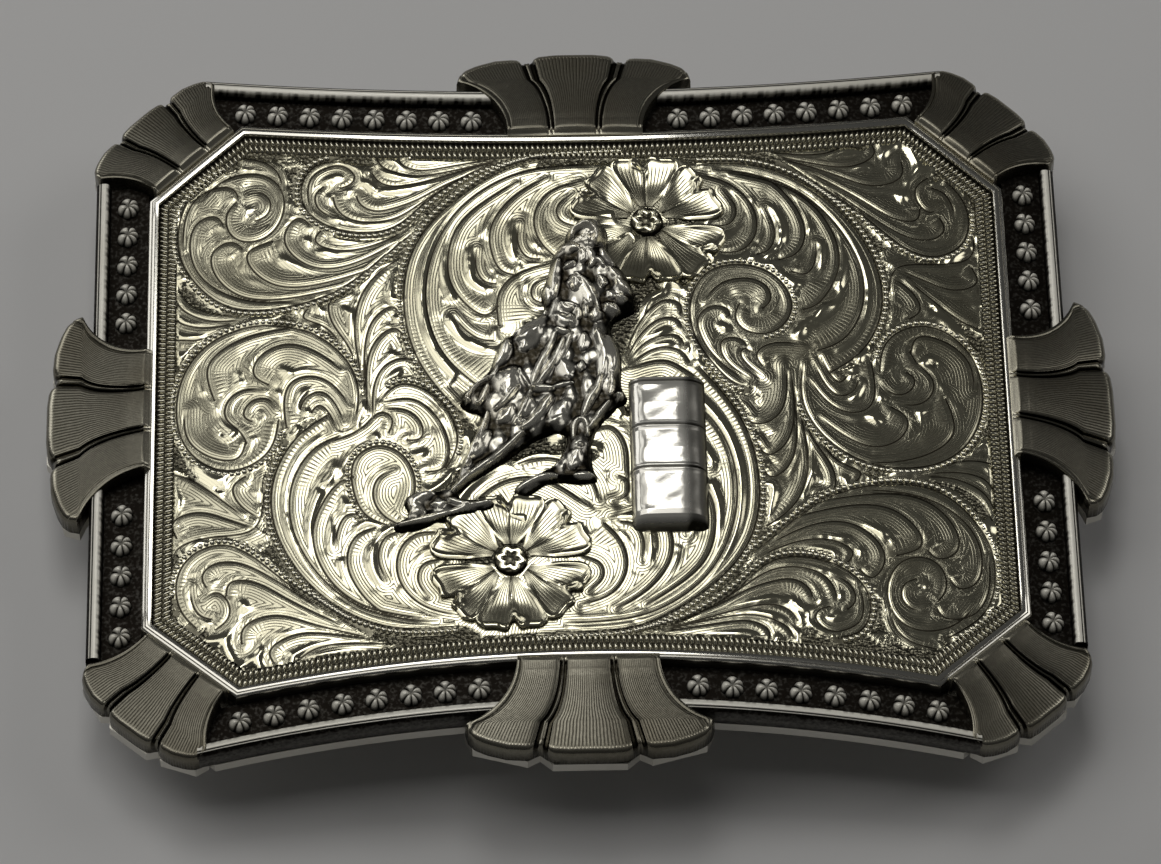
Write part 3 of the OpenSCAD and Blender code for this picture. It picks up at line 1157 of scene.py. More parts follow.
SCROLLS = (
    scroll(
        "centre",
        (2.6, (4.5, 28.6), (-1, 28.4), (-6, 27.6), (-12.3, 23.6), (-16.6, 18), (-17.8, 11), (-16.2, 3.8),
         (-12.2, -2.2)),
        (3, (2, 27.4), (-4, 27), (-8, 25.6), (-12.3, 22), (-15, 16.3), (-15.5, 10.5), (-13.8, 4.8),
         (-10, 0.5)),
        (1.6, (-12.9, 9.5), (-11.6, 7.6), (-10, 6.4), (-8.6, 6.2)),
        (3.4, (-6, 25.6), (-9, 23.5), (-12.2, 20.2), (-13.3, 15.5), (-12.3, 11.8), (-9.6, 9.3),
         (-8.3, 10.3)),
        (1.2, (-10.3, 17.5), (-10.4, 15), (-9.6, 13.4), (-8.4, 13)),
        (3.6, (-3, 26), (-6.5, 23.6), (-8.8, 20), (-8.8, 16.8), (-7.8, 14.6), (-6.2, 14)),
        (1.4, (-5.9, 20.5), (-6.1, 18), (-5.2, 16.2), (-3.9, 15.9)),
        (3, (0.5, 25.4), (-2.9, 24), (-4.4, 21), (-3.8, 18), (-2.3, 16.1)),
        (1.4, (-0.4, 24), (-2, 22.2), (-1.7, 20.6), (0, 19.8)),
        (4, (-2.8, 15.4), (-6.5, 14), (-8.2, 11.5), (-8.2, 8)),
        (0.8, (-3, 13.6), (-4.6, 12.8), (-4.7, 11.2), (-3.8, 10.6)),
    ),
    scroll(
        "top_leaf",
        (-1.6, (-5.5, 28.6), (-9.8, 27.2), (-12.2, 25.8), (-15.3, 23.4), (-18.6, 20.5), (-22, 19.9),
         (-25.4, 20.9), (-27.8, 23.2), (-28.2, 26.2), (-27, 28.3), (-25, 29)),
        (-1.6, (-8.4, 27.6), (-12.4, 25.6), (-15.2, 23.8), (-17.6, 22), (-19.6, 21.2), (-22, 21.2),
         (-23.8, 22), (-24.7, 23.2), (-25, 24.4)),
        (-1.6, (-8, 27.8), (-11.2, 26.4), (-14, 25), (-16.4, 23.6), (-18.8, 22.7), (-20.8, 22.5),
         (-22.2, 23.4), (-22.6, 24.4)),
        (-1.8, (-7.4, 28.2), (-10.8, 27.3), (-14, 26.3), (-17.2, 25.5), (-19.2, 25.5), (-20.4, 26.2),
         (-21, 27.2)),
        (-1.4, (-7.2, 28.4), (-13, 27), (-16.6, 26.6), (-18.8, 27.2), (-20, 28), (-20.6, 29.2)),
        (-1.2, (-7, 28.6), (-10, 28.1), (-14, 27.4), (-16.4, 27.3), (-18, 28.2), (-18.2, 29.2)),
        (-0.7, (-27.2, 22.6), (-27.6, 25), (-27.2, 27), (-26, 28), (-24.4, 28.3), (-23.2, 27.6),
         (-22.8, 26.6), (-23.4, 25.8), (-24.3, 25.5)),
        (-1.6, (-24.5, 21.8), (-26.4, 23), (-26.8, 24.8), (-26, 25.8)),
    ),
    scroll(
        "upper_corner",
        (-2.4, (-16.5, 19.8), (-19.4, 17.2), (-23.2, 13.9), (-27, 12), (-32.2, 11.2), (-36.2, 12.2),
         (-39.2, 15.2), (-40.8, 19), (-40.6, 23.5), (-39, 26.4), (-36, 28.6)),
        (-1.2, (-17.4, 20), (-20.6, 18.4), (-24.6, 17.9), (-26.8, 19.2), (-26.3, 20.4)),
        (-2.2, (-18.4, 18.6), (-22.6, 16.3), (-26.6, 15.9), (-29.4, 18), (-29.9, 20.4), (-28.6, 22.1),
         (-27.4, 21.2)),
        (-3, (-21, 15.4), (-26.5, 13.9), (-31, 14.2), (-33.6, 16.8), (-33.6, 18.4), (-31.2, 19.5)),
        (-2.6, (-24, 13.4), (-30, 12.4), (-34.6, 13.2), (-37.2, 16.2), (-37.2, 18.8), (-35.4, 19.7),
         (-34.3, 18.8)),
        (-2.2, (-28, 12), (-34, 12.6), (-38.4, 15.6), (-39.7, 19.4), (-38.9, 22.4), (-37.2, 23),
         (-36.3, 21.9)),
        (-2, (-40.4, 19), (-40.2, 23), (-38.4, 26), (-35.6, 26.4), (-34.8, 25.2)),
        (-2.6, (-38.8, 24.8), (-36.8, 27), (-34, 28), (-31.4, 27.2), (-30.1, 24.8), (-30.4, 22),
         (-32, 20), (-34.2, 19.7), (-35.7, 21), (-35.9, 23.2), (-35, 24.6)),
        (-1.1, (-33.9, 25.4), (-32.6, 25.6), (-31.5, 24.4), (-31.8, 22.8), (-33, 22.1)),
        (1.2, (-30.2, 25.5), (-30.6, 27.6), (-32, 29.2), (-34.6, 30)),
    ),
    scroll(
        "side",
        (1.9, (-22.8, -3), (-22.7, 2.4), (-26.2, 7.4), (-31.4, 9.3), (-36.7, 8.2), (-40, 4.4),
         (-40.8, -1), (-39.2, -5.4), (-35.4, -7.6), (-31.6, -5.8), (-30.5, -2)),
        (2.6, (-28.5, 8.9), (-34, 8), (-37.5, 5.3), (-37.6, 2.8), (-37, 0.8)),
        (2.4, (-24, 3.5), (-27, 6), (-30, 6.9), (-32.5, 5.5), (-33, 3.5), (-31.5, 2.2)),
        (2.2, (-23.2, -1), (-25, 1.7), (-27, 2.9), (-29, 2.5), (-29.9, 0.5), (-29.7, -3)),
        (1.6, (-23.8, -3), (-24.8, -0.5), (-26.3, 1), (-27.8, 0.3), (-28.3, -1)),
        (1, (-24.6, -3.6), (-25.4, -1.6), (-26.4, -0.6), (-27.2, -1.4)),
        (1.8, (-40, 0), (-39.6, -3.6), (-37, -6), (-34.6, -6.2), (-33.8, -4.4)),
        (1.3, (-31.8, 1.6), (-34, 1.8), (-35.6, 0.6), (-35.8, -1.4), (-34.5, -3), (-33.7, -4.5)),
        (1, (-30.6, -0.8), (-31.6, 0.5), (-33.2, 0.4), (-34, -1.2), (-33.2, -2)),
    ),
    scroll(
        "lower_corner",
        (1.6, (-21.5, -27.4), (-26.4, -23.6), (-30, -20.6), (-34, -17), (-37, -16.2), (-39.6, -17.7),
         (-40.6, -20.5), (-40, -23.5), (-38.5, -25.5)),
        (1.8, (-26, -24.4), (-31, -20.4), (-34.6, -18.3), (-37, -18.4), (-38, -19.6), (-37.6, -20.9)),
        (1.9, (-24, -26.2), (-29.5, -22.8), (-33, -20.6), (-35.2, -20.6), (-35.6, -22)),
        (2.2, (-21, -27.8), (-27, -25.8), (-31, -24.6), (-33.8, -25.8), (-34, -27.6)),
        (1.8, (-20, -28.2), (-25.5, -27), (-29, -27), (-31.2, -28.6), (-30.8, -30)),
        (1, (-19, -28.6), (-24, -28.2), (-27, -28.8), (-28.6, -30)),
        (-1.4, (-38, -22.4), (-36.6, -21.6), (-35.4, -22.8), (-35.4, -24.6), (-36.6, -25.8)),
        (0.9, (-39.2, -20.6), (-39, -22.4), (-38.2, -24), (-37, -24.6)),
    ),
    scroll(
        "side_leaf",
        (2.2, (-33.8, -13.2), (-36.8, -10.4), (-39.2, -8.4), (-41, -7.6)),
        (2.4, (-32.6, -14.6), (-36, -13), (-38.8, -12.2), (-41, -13.2), (-40.6, -15)),
        (-2.2, (-32, -13.6), (-34.2, -11.8), (-35, -9.6), (-33.8, -8.4)),
        (-2.4, (-31.9, -8.8), (-32, -12), (-33, -14.6), (-37, -15.2), (-40.5, -16.3), (-41, -18.5)),
    ),
    scroll(
        "lower",
        (-2.2, (-13, -26.9), (-19, -26.7), (-24.6, -24), (-28.8, -19.2), (-31, -13.6), (-30.8, -8.4),
         (-28.6, -4.2), (-25.6, -1.8)),
        (-2.8, (-15, -26.2), (-21.5, -24.6), (-26.6, -20), (-29.2, -14), (-28.9, -9), (-26.8, -5.6),
         (-24.3, -4.3)),
        (-2.8, (-16, -25.8), (-21.6, -24.2), (-25.4, -20.8), (-27, -16), (-26.2, -12.4), (-24.4, -9.8),
         (-23, -9.2)),
        (-1.4, (-24.75, -17.5), (-24.6, -15.6), (-23.6, -13.6), (-22, -13.8)),
        (-3, (-14.5, -26.2), (-19.6, -25.2), (-22.6, -22), (-23.6, -18.6), (-22.6, -16), (-20.8, -15.2)),
        (-1.4, (-19.6, -21.6), (-20.5, -18.6), (-19.8, -16.4), (-18.6, -15.8)),
        (-2.8, (-12.6, -25.6), (-16, -24.4), (-18.4, -21.4), (-18.4, -18), (-16.8, -16.2), (-14.9, -16)),
        (-1.2, (-15.4, -23.6), (-16.6, -21.4), (-16, -19.6), (-14.6, -19.2)),
    ),
    scroll(
        "spray",
        (-1.4, (-24, 6), (-26, 8.8), (-28, 10), (-27.6, 11)),
        (-1.6, (-22.4, 3), (-23.6, 6.5), (-25.2, 9.5), (-25.2, 12), (-23.6, 12.6)),
        (-3.2, (-22, 2), (-22.8, 8), (-22.2, 12), (-20.6, 14.6), (-18.4, 16.4)),
        (-2, (-21.8, 0), (-21.8, 5.6), (-20.8, 9.4), (-19, 10.7), (-18.2, 9.6)),
        (-2.2, (-21.5, -2), (-21.6, 3.4), (-20.6, 6.8), (-18.8, 8.1), (-17.6, 6.6)),
        (-2, (-21, -2.6), (-20.8, 1.6), (-19.4, 4), (-17.4, 4.4), (-16.1, 2.8)),
    ),
    scroll(
        "inner_curl",
        (-2.4, (-20.4, -0.6), (-18.4, 1.4), (-15.6, 0.6), (-13.2, -2.4), (-12.6, -6), (-13.8, -8.8)),
        (-2, (-20, -0.6), (-17, -0.4), (-14.6, -2.6), (-13.4, -6), (-14, -8.6), (-15.8, -9)),
        (-1.6, (-20, -1.4), (-17.8, -1.6), (-16.2, -3.2), (-16.2, -5), (-17.6, -5.2)),
        (-1.5, (-25, -4.8), (-22, -3.4), (-20.2, -1.8), (-19.1, -2.6), (-19.4, -4.2)),
        half=Half.CHARTED,
    ),
    scroll(
        "eye",
        (1.6, (-17.6, -13.6), (-16.8, -10.4), (-18, -7), (-20.6, -5.7), (-22.8, -7.2), (-23, -10.6),
         (-21.8, -13.6), (-19.6, -15)),
        (2.2, (-18.8, -8.6), (-20.4, -9.4), (-21, -11.6), (-20, -13.8), (-18.6, -14.9)),
        half=Half.CHARTED,
    ),
    scroll(
        "spiral",
        (-2.6, (17, 0.4), (15.3, 1), (13.1, 3.6), (11.7, 6.3), (11.2, 9.1), (11.6, 11.6), (12.8, 13.8),
         (14.6, 14.9), (17, 15.1), (19.2, 14.4), (20.9, 12.7), (21.6, 10.5), (21.1, 8.6), (19.8, 7.2),
         (18, 6.8), (16.5, 7.4), (15.8, 8.8), (16.3, 10.4)),
        (-2, (16.9, 0.9), (13.5, 4.1), (12.2, 6.6), (12, 8.4), (12.8, 9.7), (14, 10.1), (15.1, 9.6),
         (15.2, 8.9)),
        (-1.8, (17.1, 1.4), (15.1, 3), (14.2, 4.7), (14.4, 5.9), (15.3, 6.3), (16.4, 6), (16.8, 5.3)),
        (-1.6, (18.4, 1.6), (17, 2.9), (16.2, 4.4), (16.6, 5), (17.1, 4.6)),
        (-2.2, (12.6, 10.6), (14.2, 12.6), (16, 13.4), (18, 13.3), (19.3, 12.2), (19.4, 10.8),
         (18.6, 9.8)),
        half=Half.CHARTED,
    ),
    scroll(
        "middle_spray",
        (-1.5, (4.5, 3.6), (5.05, 5.8), (6.2, 8.3), (7.6, 10.1), (8.9, 10.8), (10.2, 10.3), (10.3, 9.2)),
        (-1.7, (4.6, 3.4), (5.6, 5.8), (7, 7.7), (8.4, 8.6), (9.8, 8.5), (10.3, 7.6)),
        (-1.6, (4.7, 3.2), (6.4, 5.5), (8.1, 6.4), (9.8, 6.5), (10.5, 5.4)),
        (-1.5, (4.8, 3), (7, 4.7), (8.7, 5.1), (10.2, 4.6), (11, 3.3)),
        (-1.8, (4.9, 2.7), (7, 3.4), (8.7, 3.5), (10.3, 2.6), (11.4, 1.7)),
        half=Half.CHARTED,
    ),
    scroll(
        "trodden_leaf",
        (2.4, (4.4, -13), (4.5, -9), (4.2, -6), (2.8, -4.2), (1.2, -4.6)),
        (2.4, (1.5, -13), (0.8, -10.4), (-1.5, -8.4), (-4, -7.8), (-6.5, -8.4)),
        (2.4, (0.4, -13.4), (-2, -11.4), (-5, -10), (-8.4, -10.6), (-10.4, -12.2)),
        half=Half.CHARTED,
    ),
    scroll(
        "flower_leaf",
        (1.6, (0.6, 13.2), (1.2, 16), (2.6, 17.6), (4.4, 17.8)),
        (1.6, (22.6, 5.6), (20.4, 5.8), (18.6, 5.3), (17.8, 4.2), (18.3, 3)),
        half=Half.CHARTED,
    ),
    scroll(
        "side_sprig",
        (1.2, (-33.4, 10.6), (-37, 11.2), (-39.6, 12.6), (-41, 15)),
        (1.4, (-33.8, 10.3), (-37.6, 10.4), (-40.4, 12), (-41.2, 13.6)),
        (1.4, (-34.4, 10), (-38, 9.6), (-40.6, 10.4), (-41.3, 11.6)),
        (1.2, (-35.6, 9.4), (-38.6, 8.2), (-41.2, 8.4)),
    ),
)


@dataclass(frozen=True)
class Edges:
    """Outer edges of all leaves in both halves, and the tracks of the beaded lines outside them."""

    stations: int = 72
    bead_track: float = 0.84
    beaded: tuple[tuple[str, float, float], ...] = (
        # scroll, and the shares of its first edge where its beads begin and end
        ("centre", 0.0, 1.0), ("top_leaf", 0.0, 1.0), ("upper_corner", 0.0, 1.0), ("side", 0.1, 0.97),
        ("lower_corner", 0.1, 0.86), ("lower", 0.0, 0.86), ("inner_curl", 0.12, 0.9), ("eye", 0.0, 0.9),
        ("spiral", 0.02, 0.86),
    )

    def cuts(self) -> dict[tuple[str, int], list[Array]]:
        """The outer edge of every leaf with its turned copy, by scroll and number."""
        return {(s.name, i): s.copies(smooth_line(lobe.edge, self.stations))
                for s in SCROLLS for i, lobe in enumerate(s.lobes)}

    def beside(self, name: str, low: float, high: float, far: float, count: int) -> list[Array]:
        """A line outside the first leaf of a scroll, between two shares of its length.

        Args:
            name: The scroll.
            low: Share where the line begins.
            high: Share where it ends.
            far: Its distance from the leaf's edge.
            count: Points along the whole edge.

        Returns:
            The line, and its turned copy where the scroll has one.
        """
        item = next(s for s in SCROLLS if s.name == name)
        line = smooth_line(item.lobes[0].edge, count)
        way = np.gradient(line, axis=0)
        way /= np.linalg.norm(way, axis=1, keepdims=True)
        outward = -math.copysign(1.0, item.lobes[0].width) * np.stack([-way[:, 1], way[:, 0]], axis=-1)
        part = slice(int(count * low), int(count * high) + 1)
        return item.copies((line + outward * far)[part])


@dataclass(frozen=True)
class Leaf:
    """One leaf where it is cut: its outer edge, the side it lies on, and how wide it is along the edge.

    Full is the width that it has where nothing is near, and beaded says whether beads follow its edge.
    """

    line: Array
    side: float
    wide: Array
    full: float
    beaded: bool

    def reach(self, x: Array, y: Array) -> tuple[Array, Array, Array, Array]:
        """Where places lie against this leaf's edge.

        The nearest point of each segment is at the share of it that the dot product with its direction
        gives, held between its ends; the smallest of the distances counts. The side comes from the sign
        of the cross product. Places past either end are not inside, and the tip is also an outer side.

        Args:
            x: Places across the plan, in one row.
            y: Places up the plan.

        Returns:
            Distance inwards from the edge and how far along it, then the same outwards from it.
        """
        start, step = self.line[:-1], np.diff(self.line, axis=0)
        square = (step**2).sum(axis=1)
        along = length_of(self.line)
        gx, gy = x[:, None] - start[:, 0], y[:, None] - start[:, 1]
        dot = x[:, None] * step[:, 0] + y[:, None] * step[:, 1] - (start * step).sum(axis=1)
        share = np.clip(dot / square, 0, 1)
        gap = gx**2 + gy**2 - 2 * share * dot + share**2 * square
        turn = step[:, 0] * gy - step[:, 1] * gx
        root, tip = np.zeros(share.shape, bool), np.zeros(share.shape, bool)
        root[:, 0], tip[:, -1] = share[:, 0] <= 0, share[:, -1] >= 1
        inward = turn * self.side > 0
        row = np.arange(len(x))
        found = []
        for usable in (inward & ~root & ~tip, (~inward | tip) & ~root):
            some = np.where(usable, gap, np.inf)
            k = some.argmin(axis=1)
            near = np.sqrt(np.clip(some[row, k], 0, None))
            found += [near, along[k] + share[row, k] * np.sqrt(square[k])]
        return tuple(found)


@dataclass
class Survey:
    """Where each place of a grid lies against the leaves.

    Near, wide, along and share tell of the leaf that it is inside: the distance from its outer edge, its
    width there, and how far along the edge, in millimetres and as a share. Outside and start are the
    distance outwards from the nearest edge and how far along it. Beads is the distance outwards from a
    beaded edge. Gap says whether the place is inside none, and a leaf nearby goes on into it.
    """

    near: Array
    wide: Array
    along: Array
    share: Array
    outside: Array
    start: Array
    beads: Array
    gap: Array


@dataclass(frozen=True)
class Scrollwork:
    """The engraved scrolls: charted in one half, repeated half a turn round, and cut from one surface.

    Rim is how far outside the panel's edge they end. Low is the height of the cut metal, and crest how
    much higher its rolls are. Base is how far the whole surface stands above the panel's ground. Breadth
    is the share of a charted width that a leaf may take up. Spread is how far a leaf goes on into a gap
    beside it, and clear is how far beads and the border keep it off.
    """

    edges: Edges = Edges()
    step: float = 0.15
    rim: float = -3.0
    pieces: int = 3
    crest: float = 0.25
    low: float = 0.14
    base: float = 0.04
    breadth: float = 2.5
    spread: float = 2.6
    clear: float = 0.9

    def room(self, line: Array, inward: Array, starts: Array, ends: Array, limit: float) -> Array:
        """Distance from each point of a leaf's edge, along its inward normal, to the nearest other edge.

        Ray and segment meet where the cross products of their gap with either direction, over the cross
        product of the directions, lie on both.

        Args:
            line: Points of the edge.
            inward: Unit normals at them.
            starts: First ends of the other edges' segments.
            ends: Second ends.
            limit: What comes back where nothing is met.

        Returns:
            One distance for each point.
        """
        step = (ends - starts)[None]
        gap = starts[None] - line[:, None]
        n = inward[:, None]
        turn = n[..., 0] * step[..., 1] - n[..., 1] * step[..., 0]
        turn = np.where(np.abs(turn) < 1e-9, 1e-9, turn)
        own = 0.03
        far = (gap[..., 0] * step[..., 1] - gap[..., 1] * step[..., 0]) / turn
        at = (gap[..., 0] * n[..., 1] - gap[..., 1] * n[..., 0]) / turn
        meets = (at >= 0) & (at <= 1) & (far > own)
        return np.where(meets, far, limit).min(axis=1)

    def leaves(self) -> list[Leaf]:
        """Every leaf of both halves.

        Its width is the charted one, less where another edge, a row of beads or the border is nearer, and
        runs out in a round tip.

        Returns:
            The leaves, scroll by scroll.
        """
        cuts = self.edges.cuts()
        border = FORM.outline(self.rim, (8, 6, 60))
        tracks = [np.vstack([border, border[:1]])]
        tracks += [line for name, low, high in self.edges.beaded
                   for line in self.edges.beside(name, low, high, self.edges.bead_track,
                                                 self.edges.stations)]
        beaded = [name for name, _, _ in self.edges.beaded]
        leaves = []
        for item in SCROLLS:
            for i, lobe in enumerate(item.lobes):
                for k, line in enumerate(cuts[item.name, i]):
                    rest = tracks + [other for key, copies in cuts.items()
                                     for n, other in enumerate(copies) if (*key, n) != (item.name, i, k)]
                    starts, ends = (np.concatenate([one[part] for one in rest])
                                    for part in (slice(None, -1), slice(1, None)))
                    along = length_of(line)
                    way = np.gradient(line, along, axis=0)
                    way /= np.linalg.norm(way, axis=1, keepdims=True)
                    side = math.copysign(1.0, lobe.width)
                    inward = side * np.stack([-way[:, 1], way[:, 0]], axis=-1)
                    full = self.breadth * abs(lobe.width)
                    left = np.clip((along[-1] - along) / min(0.25 * full, 0.12 * along[-1]), 0, 1)
                    wide = self.room(line, inward, starts, ends, full) * np.sqrt(1 - (1 - left) ** 2)
                    leaves.append(Leaf(line, side, wide, full, i == 0 and item.name in beaded))
        return leaves

    def soften(self, a: Array, times: int) -> Array:
        """Averages each place of a grid with its neighbours.

        Args:
            a: The grid.
            times: How many times this is done.

        Returns:
            The softer grid.
        """
        for _ in range(times):
            for axis in (0, 1):
                a = 0.5 * a + 0.25 * (np.roll(a, 1, axis) + np.roll(a, -1, axis))
        return a

    def survey(self, xs: Array, ys: Array) -> Survey:
        """Finds the leaf of each place of a grid.

        A place belongs to the leaf whose outer edge is nearest among those that it lies inside of. In a
        gap between leaves it goes on from the nearest one that could be as wide.

        Args:
            xs: The grid's places across.
            ys: Its places up the plan.

        Returns:
            What is known of each place.
        """
        x, y = np.meshgrid(xs, ys, indexing="ij")
        near, wide, along, share, spare, spare_wide, spare_along = (
            np.full(x.shape, v) for v in (NOWHERE, 1.0, 0.0, 0.0, NOWHERE, 1.0, 0.0))
        outside, start, beads = (np.full(x.shape, NOWHERE) for _ in range(3))
        for leaf in self.leaves():
            limit = max(1.0, float(leaf.wide.max()))
            low, high = leaf.line.min(axis=0) - limit, leaf.line.max(axis=0) + limit
            box = (slice(*np.searchsorted(xs, [low[0], high[0]])),
                   slice(*np.searchsorted(ys, [low[1], high[1]])))
            shape = x[box].shape
            found = leaf.reach(x[box].ravel(), y[box].ravel())
            far, run, out, out_run = (v.reshape(shape) for v in found)
            line = length_of(leaf.line)
            room = np.interp(run, line, leaf.wide)
            inside = (far < near[box]) & (far < room)
            closer = (far < spare[box]) & (far < leaf.full)
            beyond = out < outside[box]
            for grid, chosen, value in (
                (near, inside, far), (wide, inside, room), (along, inside, run),
                (share, inside, run / line[-1]), (spare, closer, far), (spare_wide, closer, room + 1),
                (spare_along, closer, run), (outside, beyond, out), (start, beyond, out_run),
            ):
                grid[box] = np.where(chosen, value, grid[box])
            if leaf.beaded:
                beads[box] = np.minimum(beads[box], out)
        inner = FORM.holds(x, y, self.rim - self.clear)
        gap = (near == NOWHERE) & (beads > self.clear) & (spare < self.spread) & inner
        near, wide, along, share = (np.where(gap, b, a) for a, b in (
            (near, spare), (wide, spare_wide), (along, spare_along), (share, 0.0)))
        return Survey(near, wide, along, share, outside, start, beads, gap)

    def build(self, finishes: Finishes) -> None:
        """Cuts the leaves from one grid, and writes it in strips.

        Across a leaf the metal rises from a dark cut at the outer edge to a low crest, hollows, and
        swells into a polished roll near the inner edge; the roll grows from root to tip. Fine lines shade
        the rest of the leaf, and ticks cross them near its tip. Places inside no leaf are stippled
        ground, and the channel under a row of beads is dark.

        Args:
            finishes: The finishes.
        """
        margin = 2 * self.step
        xs, ys = (np.arange(-half - self.rim - margin, half + self.rim + margin, self.step)
                  for half in (FORM.half_w, FORM.half_h))
        x, y = np.meshgrid(xs, ys, indexing="ij")
        found = self.survey(xs, ys)
        near, outside, share = found.near, found.outside, found.share
        held = near < NOWHERE
        width = self.soften(found.wide, 6)
        a = np.clip(near / np.maximum(width, 0.05), 0, 1)
        fade = np.clip(width / 1.2, 0.15, 1) ** 0.6
        swell = self.soften(rise(share, 0.25, 0.7), 3)
        roll = bell(a, 0.8, 0.15) * swell
        closest = np.minimum(near, outside)
        strength = np.where(near < outside, rise(found.along, 0.0, 1.5), rise(found.start, 0.0, 1.5))
        level = self.low + self.crest * fade * (0.35 - 0.35 * rise(a, 0.0, 0.6) + roll)
        level = np.where(held, level * (0.4 + 0.6 * rise(found.wide - near, 0.0, 0.2)), 0.1)
        level = level * (1 - 0.6 * strength * (1 - rise(closest, 0.02, 0.24)))
        t = FORM.panel_t + self.base + self.soften(level, 3)
        channel = (1 - rise(found.beads, 0.75, 0.95)) * ~held
        beside = np.where(near < outside, near, -outside) * held
        cut = np.where(held, strength * (1 - rise(closest, 0.14, 0.42)), 0.85 * np.maximum(channel, 0.9))
        shine = np.clip(rise(a, 0.48, 0.62) * (0.2 + 0.7 * swell), 0, 1)
        polish = np.where(held & ~found.gap, shine, ~held)
        tick = rise(share, 0.7, 0.82) * bell(a, 0.24, 0.16) * held
        stipple = self.soften(1.0 - held, 1) * (1 - channel)
        inside = FORM.holds(x, y, self.rim)
        keep = inside[:-1, :-1] | inside[1:, :-1] | inside[:-1, 1:] | inside[1:, 1:]
        bounds = np.linspace(0, len(xs) - 1, self.pieces + 1).astype(int)
        for number, (first, last) in enumerate(zip(bounds[:-1], bounds[1:])):
            part = slice(first, last + 1)
            relief = Relief()
            relief.grid(FORM.lay(x[part], y[part], t[part]), along=found.along[part],
                        across=closest[part], beside=beside[part], cut=cut[part], polish=polish[part],
                        tick=tick[part], stipple=stipple[part], keep=keep[first:last])
            relief.build(f"scrollwork_{number + 1}", finishes.engraved, "engraved_silver", crease=180.0)


@dataclass(frozen=True)
class BeadedLines:
    """Rows of small beads outside the first leaf of each scroll that has them."""

    edges: Edges = Edges()
    pitch: float = 0.64
    radius: float = 0.33
    height: float = 0.4
    outside: float = 0.42
    around: int = 6
    stations: int = 400
    rings: Points = (
        # share of the radius, share of the height
        (1, 0), (0.95, 0.65), (0.74, 0.95), (0, 1),
    )

    def build(self, finishes: Finishes) -> None:
        """Sets a low six-sided dome on every step of each row, in both halves.

        Args:
            finishes: The finishes.
        """
        turn = np.linspace(0, 2 * np.pi, self.around, endpoint=False)
        ring = np.array(self.rings)
        shape = np.stack([ring[:, 0] * np.cos(turn)[:, None], ring[:, 0] * np.sin(turn)[:, None],
                          np.broadcast_to(ring[:, 1], (self.around, len(ring)))], axis=-1)
        width = len(ring)
        # each face goes up the dome first
        quads = cells(self.around, width, loop=True)[..., [0, 3, 2, 1]].reshape(-1, 4)
        relief = Relief()
        for name, low, high in self.edges.beaded:
            for line in self.edges.beside(name, low, high, self.outside, self.stations):
                along = length_of(line)
                spots = np.arange(0, along[-1], self.pitch)
                x = np.interp(spots, along, line[:, 0])[:, None, None] + shape[None, ..., 0] * self.radius
                y = np.interp(spots, along, line[:, 1])[:, None, None] + shape[None, ..., 1] * self.radius
                t = FORM.panel_t + shape[None, ..., 2] * self.height
                points = FORM.lay(x, y, np.broadcast_to(t, x.shape)).reshape(-1, 3)
                first = self.around * width * np.arange(len(spots))[:, None, None]
                faces = (quads[None] + first).reshape(-1, 4)
                flat = np.zeros(len(points))
                cut = np.broadcast_to(0.9 - 1.6 * ring[:, 1], (len(spots), self.around, width)).clip(0, 1)
                relief.add(points, faces, [flat, flat, flat, cut.ravel(), flat + 1, flat, flat])
        relief.build("beaded_lines", finishes.bright, "engraved_silver", crease=80.0)


